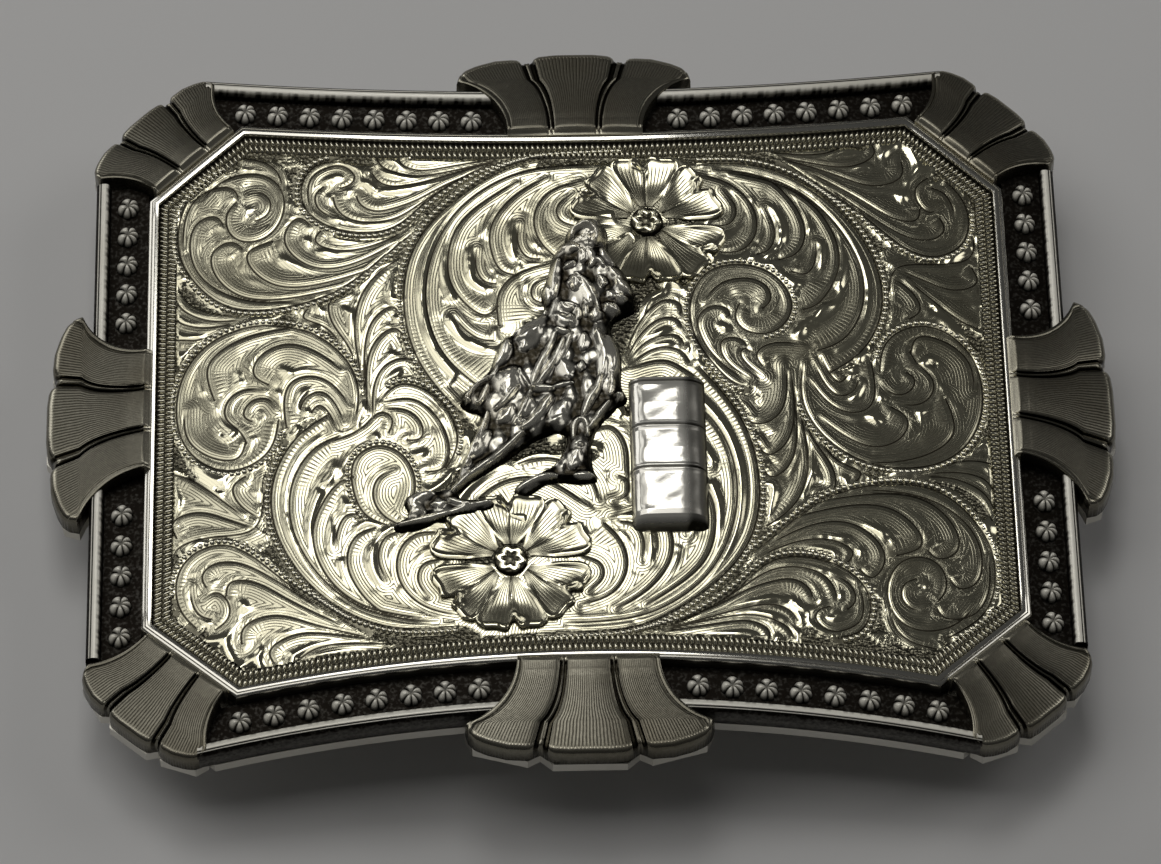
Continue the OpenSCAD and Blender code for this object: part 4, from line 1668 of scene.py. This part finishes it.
@dataclass(frozen=True)
class Flower:
    """A flower of six notched petals around a star.

    Sink is how far its walls go down into the panel's ground.
    """

    x: float
    y: float
    turn: float
    angles: tuple[float, ...] = (90, 34, -34, -90, -146, 146)
    reach: tuple[float, ...] = (7.6, 8.2, 8.0, 8.0, 8.0, 8.2)
    boss: float = 1.8
    sink: float = 0.03
    rows: int = 40
    columns: int = 41
    boss_around: int = 96
    boss_up: int = 18

    def add(self, relief: Relief) -> None:
        """Adds the petals and the boss.

        A petal is a grid of the share q of its length and the share p of its half width. The half width
        swells by a sine of q, the end is drawn in at its sides and at a notch, and the face rises
        outwards, with a crease in the middle, a ribbed rim, a curl at its end and a wall down to the
        ground. Fine lines run out from its foot. The boss is a dome with a star-shaped ribbon around a
        stud.

        Args:
            relief: What the flower is added to.
        """
        p = np.linspace(-1, 1, self.columns)
        p = np.concatenate([[-1.0], p, [1.0]])
        q = np.concatenate([[0.0], np.linspace(0, 1, self.rows), [1.0]])
        q, p = np.meshgrid(q, p, indexing="ij")
        rim = np.zeros_like(q)
        rim[0], rim[-1], rim[:, 0], rim[:, -1] = 1, 1, 1, 1
        for angle, reach in zip(self.angles, self.reach):
            notch = bell(p, 0.05, 0.14)
            end = reach * (1 - 0.13 * np.abs(p) ** 3 - 0.15 * notch + 0.025 * np.cos(7 * p))
            out = self.boss + 0.1 + q * (end - self.boss - 0.1)
            half = 0.75 + 2.75 * np.sin(np.pi * 0.58 * q) ** 1.25 + 0.15 * np.sin(9 * q) * q
            across = p * half
            edge = np.minimum((1 - np.abs(p)) * half, (1 - q) * (end - self.boss))
            hollow = (1 - p * p) * np.sin(np.pi * q) ** 2
            rib = bell(edge, 0.28, 0.17) * rise(q, 0.2, 0.5)
            crease = bell(p, 0.0, 0.08) * (1 - q)
            curl = bell(np.hypot((q - 0.88) / 0.11, (p - 0.2) / 0.2), 0.9, 0.32) * rise(q, 0.72, 0.8)
            face = (0.3 + 0.28 * q - 0.2 * hollow + 0.16 * rib - 0.1 * crease
                    - 0.22 * notch * rise(q, 0.65, 0.95) + 0.16 * curl)
            t = FORM.panel_t + np.where(rim > 0, -self.sink, face)
            a = math.radians(angle + self.turn)
            px = self.x + out * math.cos(a) - across * math.sin(a)
            py = self.y + out * math.sin(a) + across * math.cos(a)
            lines = (1 - rise(q, 0.7, 0.92)) * rise(edge, 0.15, 0.45)
            foot = 0.5 * (1 - rise(q, 0.0, 0.16)) + 0.25 * (1 - rise(q, 0.1, 0.5))
            rims = 0.55 * bell(edge, 0.62, 0.11) * rise(q, 0.35, 0.6) + 0.35 * bell(edge, 0.0, 0.09)
            cut = np.clip(rim + foot + 0.6 * notch * rise(q, 0.75, 0.95) + rims, 0, 1)
            relief.grid(FORM.lay(px, py, t), along=out, across=p * 2.7, cut=cut, polish=1 - lines)
        turn, q = np.meshgrid(np.linspace(0, 2 * np.pi, self.boss_around, endpoint=False),
                              np.linspace(0, 1, self.boss_up), indexing="ij")
        wave = np.cos(6 * turn + 1.5 * q)
        inner, outer = 0.09 * wave, 0.1 * wave
        ribbon = rise(q, 0.34 + inner, 0.44 + inner) * (1 - rise(q, 0.7 + outer, 0.8 + outer))
        height = 0.6 + 0.16 * ribbon + 0.1 * bell(q, 0.0, 0.14) - 0.5 * rise(q, 0.86, 0.97)
        relief.grid(FORM.lay(self.x + self.boss * q * np.cos(turn), self.y + self.boss * q * np.sin(turn),
                             FORM.panel_t + np.where(q > 0.99, -self.sink, height)),
                    cut=np.clip(1 - 1.1 * ribbon - 0.5 * bell(q, 0.0, 0.14), 0, 1), polish=1.0, loop=True)

    def build(self, name: str, finishes: Finishes) -> None:
        """Builds the flower as one piece.

        Args:
            name: The piece's name.
            finishes: The finishes.
        """
        relief = Relief()
        self.add(relief)
        relief.build(name, finishes.engraved, "engraved_silver", crease=60.0)


# Barrel racer and barrel


@dataclass(frozen=True)
class Barrel:
    """The front of a drum with two hoops and a rim, slightly dented."""

    x: float = 8.55
    y: float = -16.6
    length: float = 17.7
    half: float = 3.85
    crest: float = 0.24
    stand: float = 2.0
    sink: float = 0.04
    powers: Point = (8.0, 3.0)
    lean: float = 0.08
    hoops: Points = (
        # share of the length, half the width of its dark line as a share
        (0.374, 0.004), (0.654, 0.004), (0.95, 0.006),
    )
    rows: int = 130
    columns: int = 81
    profile: Points = (
        # share of the length from the lower end, height against the full one
        (0, -2.5), (0.004, -1.9), (0.012, -1.35), (0.03, -0.75), (0.05, -0.35), (0.07, -0.12),
        (0.1, -0.02), (0.2, -0.03), (0.34, -0.02), (0.352, 0.04), (0.36, 0.1), (0.368, 0.04),
        (0.374, -0.1), (0.38, 0.02), (0.388, 0.08), (0.4, 0), (0.5, 0.03), (0.62, -0.02), (0.632, 0.04),
        (0.64, 0.1), (0.648, 0.04), (0.654, -0.1), (0.66, 0.02), (0.668, 0.08), (0.68, 0), (0.8, 0.02),
        (0.92, -0.03), (0.94, -0.1), (0.95, -0.3), (0.96, -0.16), (0.975, -0.25), (0.988, -0.7),
        (0.996, -1.4), (1, -2.5),
    )

    def build(self, finishes: Finishes) -> None:
        """Carries the profile across the drum.

        Its front is two arches that meet in a crest right of the middle: the root of 1 less a power of
        the way from the crest to the edge. The left one is nearly square and leans a little, and the
        right one is rounder, with painted shade over most of it. Low waves of the place dent the skin.

        Args:
            finishes: The finishes.
        """
        table = np.array(self.profile)
        v = np.unique(np.concatenate([table[:, 0], np.linspace(0.02, 0.98, self.rows)]))
        u = np.sin(np.linspace(-np.pi / 2, np.pi / 2, self.columns))
        along, across = np.meshgrid(v, u, indexing="ij")
        way = np.where(across < self.crest, (self.crest - across) / (1 + self.crest),
                       (across - self.crest) / (1 - self.crest))
        left = across < self.crest
        arch = np.sqrt(np.clip(1 - way ** np.where(left, *self.powers), 0, 1)) - self.lean * way * left
        dents = (0.05 * np.sin(3.1 * across + 4.0 * along) * np.sin(11.0 * along + 0.4)
                 + 0.02 * np.sin(6.0 * across - 13.0 * along + 1.0) * np.cos(29.0 * along))
        edge = rise(along, 0.06, 0.14) * (1 - rise(along, 0.88, 0.93))
        skin = np.interp(along, table[:, 0], table[:, 1]) * (0.25 + 0.75 * arch)
        t = FORM.panel_t + np.maximum(self.stand * arch + skin + dents * edge * arch, -self.sink)
        x, y = self.x + self.half * across, along * self.length
        hoops = sum(bell(along, *hoop) for hoop in self.hoops)
        ends = (1 - rise(along, 0.0, 0.06)) + rise(along, 0.965, 0.99) + rise(np.abs(across), 0.93, 0.99)
        relief = Relief()
        # The hoops' lines and the ends are dark; the last term is painted shade that darkens the drum's
        # right third.
        relief.grid(FORM.lay(x, self.y + y, t), along=y, polish=1.0,
                    cut=np.clip(0.85 * hoops + 0.9 * ends + 0.7 * rise(across, 0.36, 0.6), 0, 1))
        relief.build("drum", finishes.cast, "polished_silver", "barrel")


@dataclass(frozen=True)
class Stroke:
    """A raised line of the figure: half width, height, how dark it is, and places on it."""

    width: float
    height: float
    # darkness: on a raised stroke a painted highlight near 0 and painted shade towards 1; on a cut stroke,
    # oxide
    dark: float
    points: Points


def strokes(*rows: tuple) -> tuple[Stroke, ...]:
    """Strokes from rows of a half width, a height, a darkness and places."""
    return tuple(Stroke(*row[:3], tuple(row[3:])) for row in rows)


# The third column paints highlight and shade onto the figure's raised strokes; on cut strokes, of negative
# height, it is oxide.
RIDGES = strokes(
    # hat: brim, crown, band; then the head below it
    (0.3, 0.7, 0, (-0.7, 17.6), (-0.5, 18.3), (0.2, 18.7), (1, 18.65), (1.7, 18.2), (2, 17.5),
     (1.8, 16.7)),
    (0.5, 0.5, 0.75, (0.1, 19.4), (0.9, 19.5), (1.9, 19.2)),
    (0.75, 0.4, 0.05, (0.95, 17.7), (1, 17.2), (1, 16.6)),
    (0.13, -0.14, 1, (0.5, 17.35), (0.75, 17.4)),
    (0.13, -0.14, 1, (1.2, 17.4), (1.45, 17.35)),
    (0.1, 0.12, 0, (0.98, 17.35), (0.98, 17)),
    (0.09, -0.1, 0.9, (0.75, 16.65), (1, 16.6), (1.25, 16.65)),
    # rider: shoulders and arms
    (0.4, 0.3, 0.4, (-1.7, 16.4), (-0.8, 16.3), (-0.2, 16.1)),
    (0.25, 0.3, 0.2, (0.4, 15.8), (0.5, 15), (0.3, 14.5)),
    (0.28, 0.4, 0.15, (-2.1, 14.8), (-2.45, 13.4), (-2.6, 11.9), (-2.7, 10.3)),
    (0.3, 0.5, 0.05, (-3.3, 11.5), (-3.4, 10.8), (-3.2, 10)),
    (0.2, 0.35, 0.05, (-1.3, 13.8), (-0.9, 14.1), (-0.5, 14.4)),
    (0.18, 0.3, 0.25, (1.2, 13.9), (1.7, 14.7), (2.1, 14.6), (2.5, 13.9)),
    (0.35, 0.3, 0.35, (2.5, 15.9), (2.9, 15.3), (3.5, 14.4)),
    (0.35, 0.35, 0.4, (3.2, 13.6), (3.8, 12.9), (4.2, 12.6)),
    (0.38, 0.5, 0, (3.9, 12.1), (4.4, 11.6), (5, 11)),
    (0.3, 0.45, 0, (3.8, 10.2), (4.2, 10.05), (4.6, 10)),
    (0.22, 0.35, 0.05, (2.1, 12.6), (2.4, 12.1), (2.4, 11.6)),
    (0.25, 0.2, 0.45, (3, 10.8), (3.2, 10.5), (3.3, 10.2)),
    (0.35, 0.3, 0.45, (2.8, 9.3), (3.2, 8.9), (3.8, 8.8)),
    (0.2, 0.2, 0.3, (1, 15.9), (1.3, 15.4), (1.4, 14.8)),
    # horse's face, from the forehead to the muzzle
    (0.32, 0.5, 0, (-0.6, 12.5), (-0.5, 11.9), (-0.4, 11.2)),
    (0.5, 0.45, 0.22, (-0.2, 12.2), (0.4, 11.3), (0.8, 10.2), (0.9, 9.4)),
    (0.16, 0.4, 0.1, (-0.3, 13), (0.5, 12.2), (1.2, 10.9), (1.7, 9.6), (1.9, 8.8)),
    (0.32, 0.5, 0, (1.6, 8.7), (1.6, 8.1), (1.5, 7.6)),
    (0.14, 0.35, 0.05, (0.5, 9.6), (0.6, 8.8), (0.6, 8)),
    (0.14, 0.3, 0.05, (-0.1, 8.9), (-0.1, 8.2), (-0.2, 7.7)),
    (0.22, 0.35, 0.05, (-1.7, 9.3), (-1.3, 8.9), (-0.8, 8.95)),
    (0.12, 0.25, 0.3, (-1.9, 9.6), (-1.2, 9.5), (-0.4, 9.2)),
    (0.4, 0.3, 0.5, (-2.2, 8), (-1.6, 7.6), (-1, 7.2)),
    (0.2, 0.35, 0.05, (-2.3, 6.6), (-1.8, 6.3), (-1.3, 6.2)),
    (0.25, 0.3, 0.45, (-0.9, 8.1), (-0.7, 7.4), (-0.8, 6.8)),
    # rump and saddle cloth
    (0.22, 0.4, 0.1, (-3.5, 9), (-5.2, 7.7), (-6.6, 6.3)),
    (0.6, 0.3, 0.4, (-3.9, 8), (-5, 6.8), (-6, 5.6)),
    (0.5, 0.25, 0.5, (-4.2, 6.6), (-5.2, 5.4), (-5.8, 4.4)),
    (0.4, 0.5, 0, (-7.4, 5.2), (-7.9, 3.9), (-8.5, 2.6)),
    (0.13, 0.3, 0.1, (-8.5, 2.2), (-9, 1.4), (-9.5, 0.8)),
    # straps that meet on the flank
    (0.16, 0.35, 0.2, (-2.5, 6.2), (-3.3, 4.2), (-4.4, 1.9), (-5, 0)),
    (0.2, 0.42, 0.05, (-1.7, 5.4), (-2.8, 2.8), (-4.2, 0.5), (-5, -0.4)),
    (0.12, 0.3, 0.3, (-0.9, 6), (-1.6, 4.2), (-2.4, 2.4)),
    (0.12, 0.3, 0.35, (-6.2, 2), (-5.8, 0.9), (-5.1, -0.3)),
    (0.22, 0.4, 0.05, (-5, -0.4), (-4, -0.3), (-2.9, -0.4)),
    (0.14, 0.2, 0.4, (-2.9, -0.2), (-1.9, 0.1), (-0.9, 0.3)),
    (0.16, 0.35, 0.2, (-5.1, -0.5), (-5.6, -1.8), (-6.1, -3), (-6.9, -4.5)),
    (0.16, 0.4, 0.05, (-6.4, -0.1), (-7.5, -1.5), (-8.7, -2.7)),
    # muscles of the flank
    (0.75, 0.4, 0.42, (-6.9, 1.6), (-7.3, 0.4), (-7.6, -0.8)),
    (0.45, 0.3, 0.4, (-7.1, -2.5), (-7.6, -3.3), (-8.2, -3.9)),
    (0.5, 0.3, 0.5, (-5.2, -1.7), (-5.4, -2.4), (-5.8, -3.2)),
    (0.22, 0.4, 0, (-5.8, -4.1), (-6.1, -4.2), (-6.3, -4.4)),
    (0.26, 0.5, 0, (-3.1, -1.4), (-4.2, -3.1), (-5.2, -4.3), (-6, -4.9)),
    (0.5, 0.2, 0.6, (-1.9, 2.6), (-1.5, 1.8), (-1.2, 1.2)),
    (0.3, 0.25, 0.4, (0.4, 5.8), (0.4, 5), (0.2, 4.2)),
    (0.2, 0.35, 0.1, (0.1, 2.6), (0, 2.1), (-0.1, 1.7)),
    (0.5, 0.15, 0.72, (-1.6, -2), (-2.2, -3), (-3, -4)),
    # breast and forelegs
    (0.35, 0.35, 0.5, (1.7, 6.2), (2.2, 4.4), (2.3, 2.6), (2, 1)),
    (0.2, 0.45, 0, (1.9, 0.9), (1.5, -0.4), (0.7, -1.9), (0.1, -3.5)),
    (0.45, 0.35, 0.35, (2.9, 5.6), (3.3, 4.2), (3.4, 2.8), (3.2, 1.4)),
    (0.15, 0.35, 0.1, (3.1, 1), (3.1, 0), (2.8, -1.2)),
    (0.35, 0.5, 0, (3.7, -1.2), (4, -1.4)),
    (0.18, 0.45, 0, (2.7, -2), (1.8, -3.3), (0.8, -4.9)),
    (0.15, 0.4, 0.05, (-1, -6.2), (-0.95, -5.2), (-0.6, -4.2), (0, -4), (0.4, -4.6), (0.5, -5.8)),
    (0.2, 0.4, 0, (-0.3, -6.9), (-0.3, -7.1)),
    (0.4, 0.3, 0.4, (-0.5, -7.6), (-0.9, -8.6), (-1.2, -9.4)),
    # stirrup
    (0.16, 0.4, 0.1, (-9.4, 1), (-10.4, 0.6), (-11.2, -0.4), (-11.7, -1.2)),
    (0.2, 0.4, 0, (-11.6, -1.3), (-11.3, -1.5)),
    (0.16, 0.4, 0.05, (-10.6, -1.9), (-10.2, -1.7), (-9.8, -0.9), (-9.4, 0.2)),
    # hind legs
    (0.22, 0.5, 0, (-9.5, -3), (-10.1, -4.8), (-11, -6.9), (-11.7, -9)),
    (0.4, 0.35, 0.25, (-9.5, -5.4), (-10.2, -6.6), (-11, -7.9)),
    (0.24, 0.5, 0, (-6, -5.5), (-7.4, -6.9), (-9, -8.4), (-10.9, -9.8), (-13, -11.8)),
    (0.35, 0.4, 0.05, (-14.9, -13.3), (-14.4, -13.3), (-14, -13.2)),
    # dust and ground
    (0.9, 0.2, 0.5, (-10.6, -11.8), (-9.2, -11.6), (-8, -11.9)),
    (0.8, 0.2, 0.45, (-6.6, -8.6), (-4.6, -8), (-3, -8.6)),
    (0.4, 0.25, 0.3, (-17.3, -13.4), (-16.4, -12.4), (-15.2, -12)),
    (0.3, 0.2, 0.2, (-17.4, -14.2), (-16.6, -13.9), (-16, -14.1)),
    (0.2, 0.25, 0, (-18.3, -15.4), (-15.5, -14.8), (-13.2, -14.3), (-11.4, -13.6), (-9.3, -13.2)),
    (0.2, 0.3, 0.1, (-13.4, -12.8), (-12.5, -13.2), (-11.6, -13.4)),
    (0.22, 0.25, 0, (-6.6, -11.9), (-5.4, -10.9), (-3.9, -10.4), (-2.8, -10.4)),
    (0.2, 0.25, 0, (-0.8, -10.4), (0.9, -10.4)),
)


@dataclass(frozen=True)
class Racer:
    """The horse and its rider: a dark rounded body with bright folds and ridges on it.

    Low is the height of the body's rim, and body how much higher its middle is, which it reaches at the
    shoulder's distance inside the outline. Tilt is how much higher it gets for each millimetre up the
    plan. Slope is the direction that the folds run in. Taller and wider are factors of all ridges, and
    span is how far a ridge can reach from its line.
    """

    step: float = 0.1
    margin: float = 0.8
    span: float = 2.0
    outline_steps: int = 260
    skirt: float = 0.25
    low: float = 0.35
    body: float = 0.95
    shoulder: float = 1.3
    tilt: float = 0.03
    slope: Point = (0.55, 0.83)
    taller: float = 1.15
    wider: float = 1.55
    outline: Points = (
        (0.4, 20), (1.6, 20.1), (2.6, 19.6), (3, 18.6), (3, 16.9), (3.6, 15.3), (4.9, 13.2), (5.6, 11.2),
        (5.8, 9.9), (5.1, 9), (3.6, 8.2), (3, 6.8), (3.8, 4.6), (4, 2), (4, 0), (4.5, -1.2), (3.6, -2.2),
        (2.2, -3.6), (1.2, -5.2), (0.8, -7.2), (1, -9.6), (1.3, -10.6), (-0.8, -10.9), (-3.6, -10.9),
        (-6.2, -12.4), (-6.9, -11.6), (-5.2, -10.2), (-3, -9), (-2, -7.4), (-1.9, -5.4), (-4, -5.4),
        (-6.2, -6.8), (-9.2, -9.2), (-12, -11.4), (-12.4, -12.4), (-9.2, -12.9), (-9, -13.5),
        (-11.6, -14.2), (-14.6, -15), (-18.4, -15.9), (-18.9, -15.2), (-17.4, -14.2), (-17.9, -12.6),
        (-16.6, -11.6), (-14.4, -11.5), (-13, -10.9), (-12.2, -8.8), (-10.9, -5.4), (-10.2, -2.6),
        (-11.2, -2.3), (-12.2, -1.3), (-11.4, 0.2), (-9.9, 1.5), (-9, 2.9), (-8.3, 5), (-6.8, 6.6),
        (-4.4, 8.2), (-3.5, 9.4), (-3.8, 11.2), (-3.1, 13.6), (-2.5, 16), (-1.4, 17.4), (-1, 18.9),
    )
    ridges: tuple[Stroke, ...] = RIDGES

    def inside(self, x: Array, y: Array, line: Array) -> Array:
        """Whether places lie inside a closed line: a ray to the right crosses it an odd number of times.

        Args:
            x: Places across the plan.
            y: Places up the plan.
            line: The line's points.

        Returns:
            Yes or no for each place.
        """
        a, b = line, np.roll(line, -1, axis=0)
        rows = (a[:, 1] > y[..., None]) != (b[:, 1] > y[..., None])
        span = np.where(b[:, 1] == a[:, 1], 1e-9, b[:, 1] - a[:, 1])
        cross = a[:, 0] + (y[..., None] - a[:, 1]) / span * (b[:, 0] - a[:, 0])
        return (rows & (x[..., None] < cross)).sum(axis=-1) % 2 == 1

    def distance(self, x: Array, y: Array, line: Array) -> tuple[Array, Array]:
        """How far places are from a line.

        Args:
            x: Places across the plan.
            y: Places up the plan.
            line: The line's points.

        Returns:
            The distance from the nearest segment, and the share of the line where that is.
        """
        a, step = line[:-1], np.diff(line, axis=0)
        gx, gy = x[..., None] - a[:, 0], y[..., None] - a[:, 1]
        share = np.clip((gx * step[:, 0] + gy * step[:, 1]) / (step**2).sum(axis=1), 0, 1)
        gap = (gx - share * step[:, 0]) ** 2 + (gy - share * step[:, 1]) ** 2
        k = gap.argmin(axis=-1)[..., None]
        near, at = (np.take_along_axis(v, k, axis=-1)[..., 0] for v in (gap, share))
        return np.sqrt(near), (k[..., 0] + at) / len(step)

    def build(self, finishes: Finishes) -> None:
        """Builds the relief on a grid over its outline.

        The body rises from the outline like a quarter round and tilts. Crossed sines make broad folds and
        fine ones in it, which are bright where they are high, and the rest is dark with oxide and painted
        shade. A ridge adds a bell curve of the distance from its line, narrower towards its ends, with its
        own darkness, which is painted highlight and shade on a raised ridge and oxide in a cut one. Faces
        further outside than the skirt are left out.

        Args:
            finishes: The finishes.
        """
        outline = smooth_line((*self.outline, self.outline[0]), self.outline_steps)
        low, high = outline.min(axis=0) - self.margin, outline.max(axis=0) + self.margin
        xs, ys = (np.arange(low[k], high[k], self.step) for k in (0, 1))
        x, y = np.meshgrid(xs, ys, indexing="ij")
        depth = self.distance(x, y, outline)[0] * np.where(self.inside(x, y, outline), 1.0, -1.0)
        way = 1 - np.clip(depth / self.shoulder, 0, 1)
        height = self.low + self.body * np.sqrt(1 - way**2) + self.tilt * y * (1 - way)
        run, climb = self.slope
        along, across = run * x + climb * y, climb * x - run * y
        broad = np.sin(1.9 * across + 1.2 * np.sin(0.8 * along)) * np.sin(1.3 * along + 0.6 * across + 1.0)
        patch = rise(broad, -0.1, 0.75)
        narrow = np.sin(5.2 * across + 1.5 * np.sin(1.7 * along)) * np.sin(4.1 * along + 1.1 * across)
        fine = 0.5 + 0.5 * narrow
        height += 0.08 * patch + 0.03 * fine
        # The low places between folds are dark with oxide and painted shade; the high folds stay bright.
        dark = 1 - patch * (0.3 + 0.3 * fine)
        for ridge in self.ridges:
            line = smooth_line(ridge.points, 4 * len(ridge.points) + 2)
            ends = line.min(axis=0) - self.span, line.max(axis=0) + self.span
            box = tuple(slice(*np.searchsorted(grid, [end[k] for end in ends]))
                        for k, grid in enumerate((xs, ys)))
            far, share = self.distance(x[box], y[box], line)
            half = self.wider * ridge.width * (0.45 + 0.55 * np.sin(np.pi * share) ** 0.7)
            mark = np.exp(-np.square(far / half))
            height[box] += self.taller * ridge.height * mark
            # Each ridge paints its own darkness: a painted highlight where it is light, painted shade
            # where it is dark, oxide in a cut ridge.
            dark[box] += (0.5 * ridge.dark - dark[box]) * rise(mark, 0.04, 0.5)
        height = np.where(depth < 0, self.low + 1.5 * depth, height)
        dark = np.where(depth < 0.12, 1.0, dark)
        over = depth > -self.skirt
        keep = over[:-1, :-1] | over[1:, :-1] | over[:-1, 1:] | over[1:, 1:]
        relief = Relief()
        relief.grid(FORM.lay(x, y, FORM.panel_t + height), polish=1.0, keep=keep, along=y, across=x,
                    cut=np.clip(dark, 0, 1))
        relief.build("racer_relief", finishes.figure, "polished_silver", "horse_and_rider", 180.0)


def main() -> None:
    """Builds the buckle's looks piece by piece."""
    logging.basicConfig(level=logging.INFO, format="%(message)s")
    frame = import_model()
    studio = Studio()
    studio.build_camera()
    studio.build_floor()
    studio.build_lights()
    finishes = Finishes.make()
    for name, finish in (("engraved_panel", finishes.ground), ("back_plate", finishes.back),
                         ("bail", finishes.back), ("hook", finishes.back)):
        mesh = frame["nodes"][name].data
        mesh.materials.clear()
        mesh.materials.append(finish)
        log.info("%s: %s", name, finish.name)
    Bezel().build(finishes)
    Rails().build(finishes)
    Fans().build(finishes)
    MilledBorder().build(finishes)
    Scrollwork().build(finishes)
    BeadedLines().build(finishes)
    lower = np.array([-7.4, -19.6])
    Flower(*lower, 0.0).build("flower_lower", finishes)
    Flower(*half_turn(lower), 180.0).build("flower_upper", finishes)
    Barrel().build(finishes)
    Racer().build(finishes)


if __name__ == "__main__":
    main()
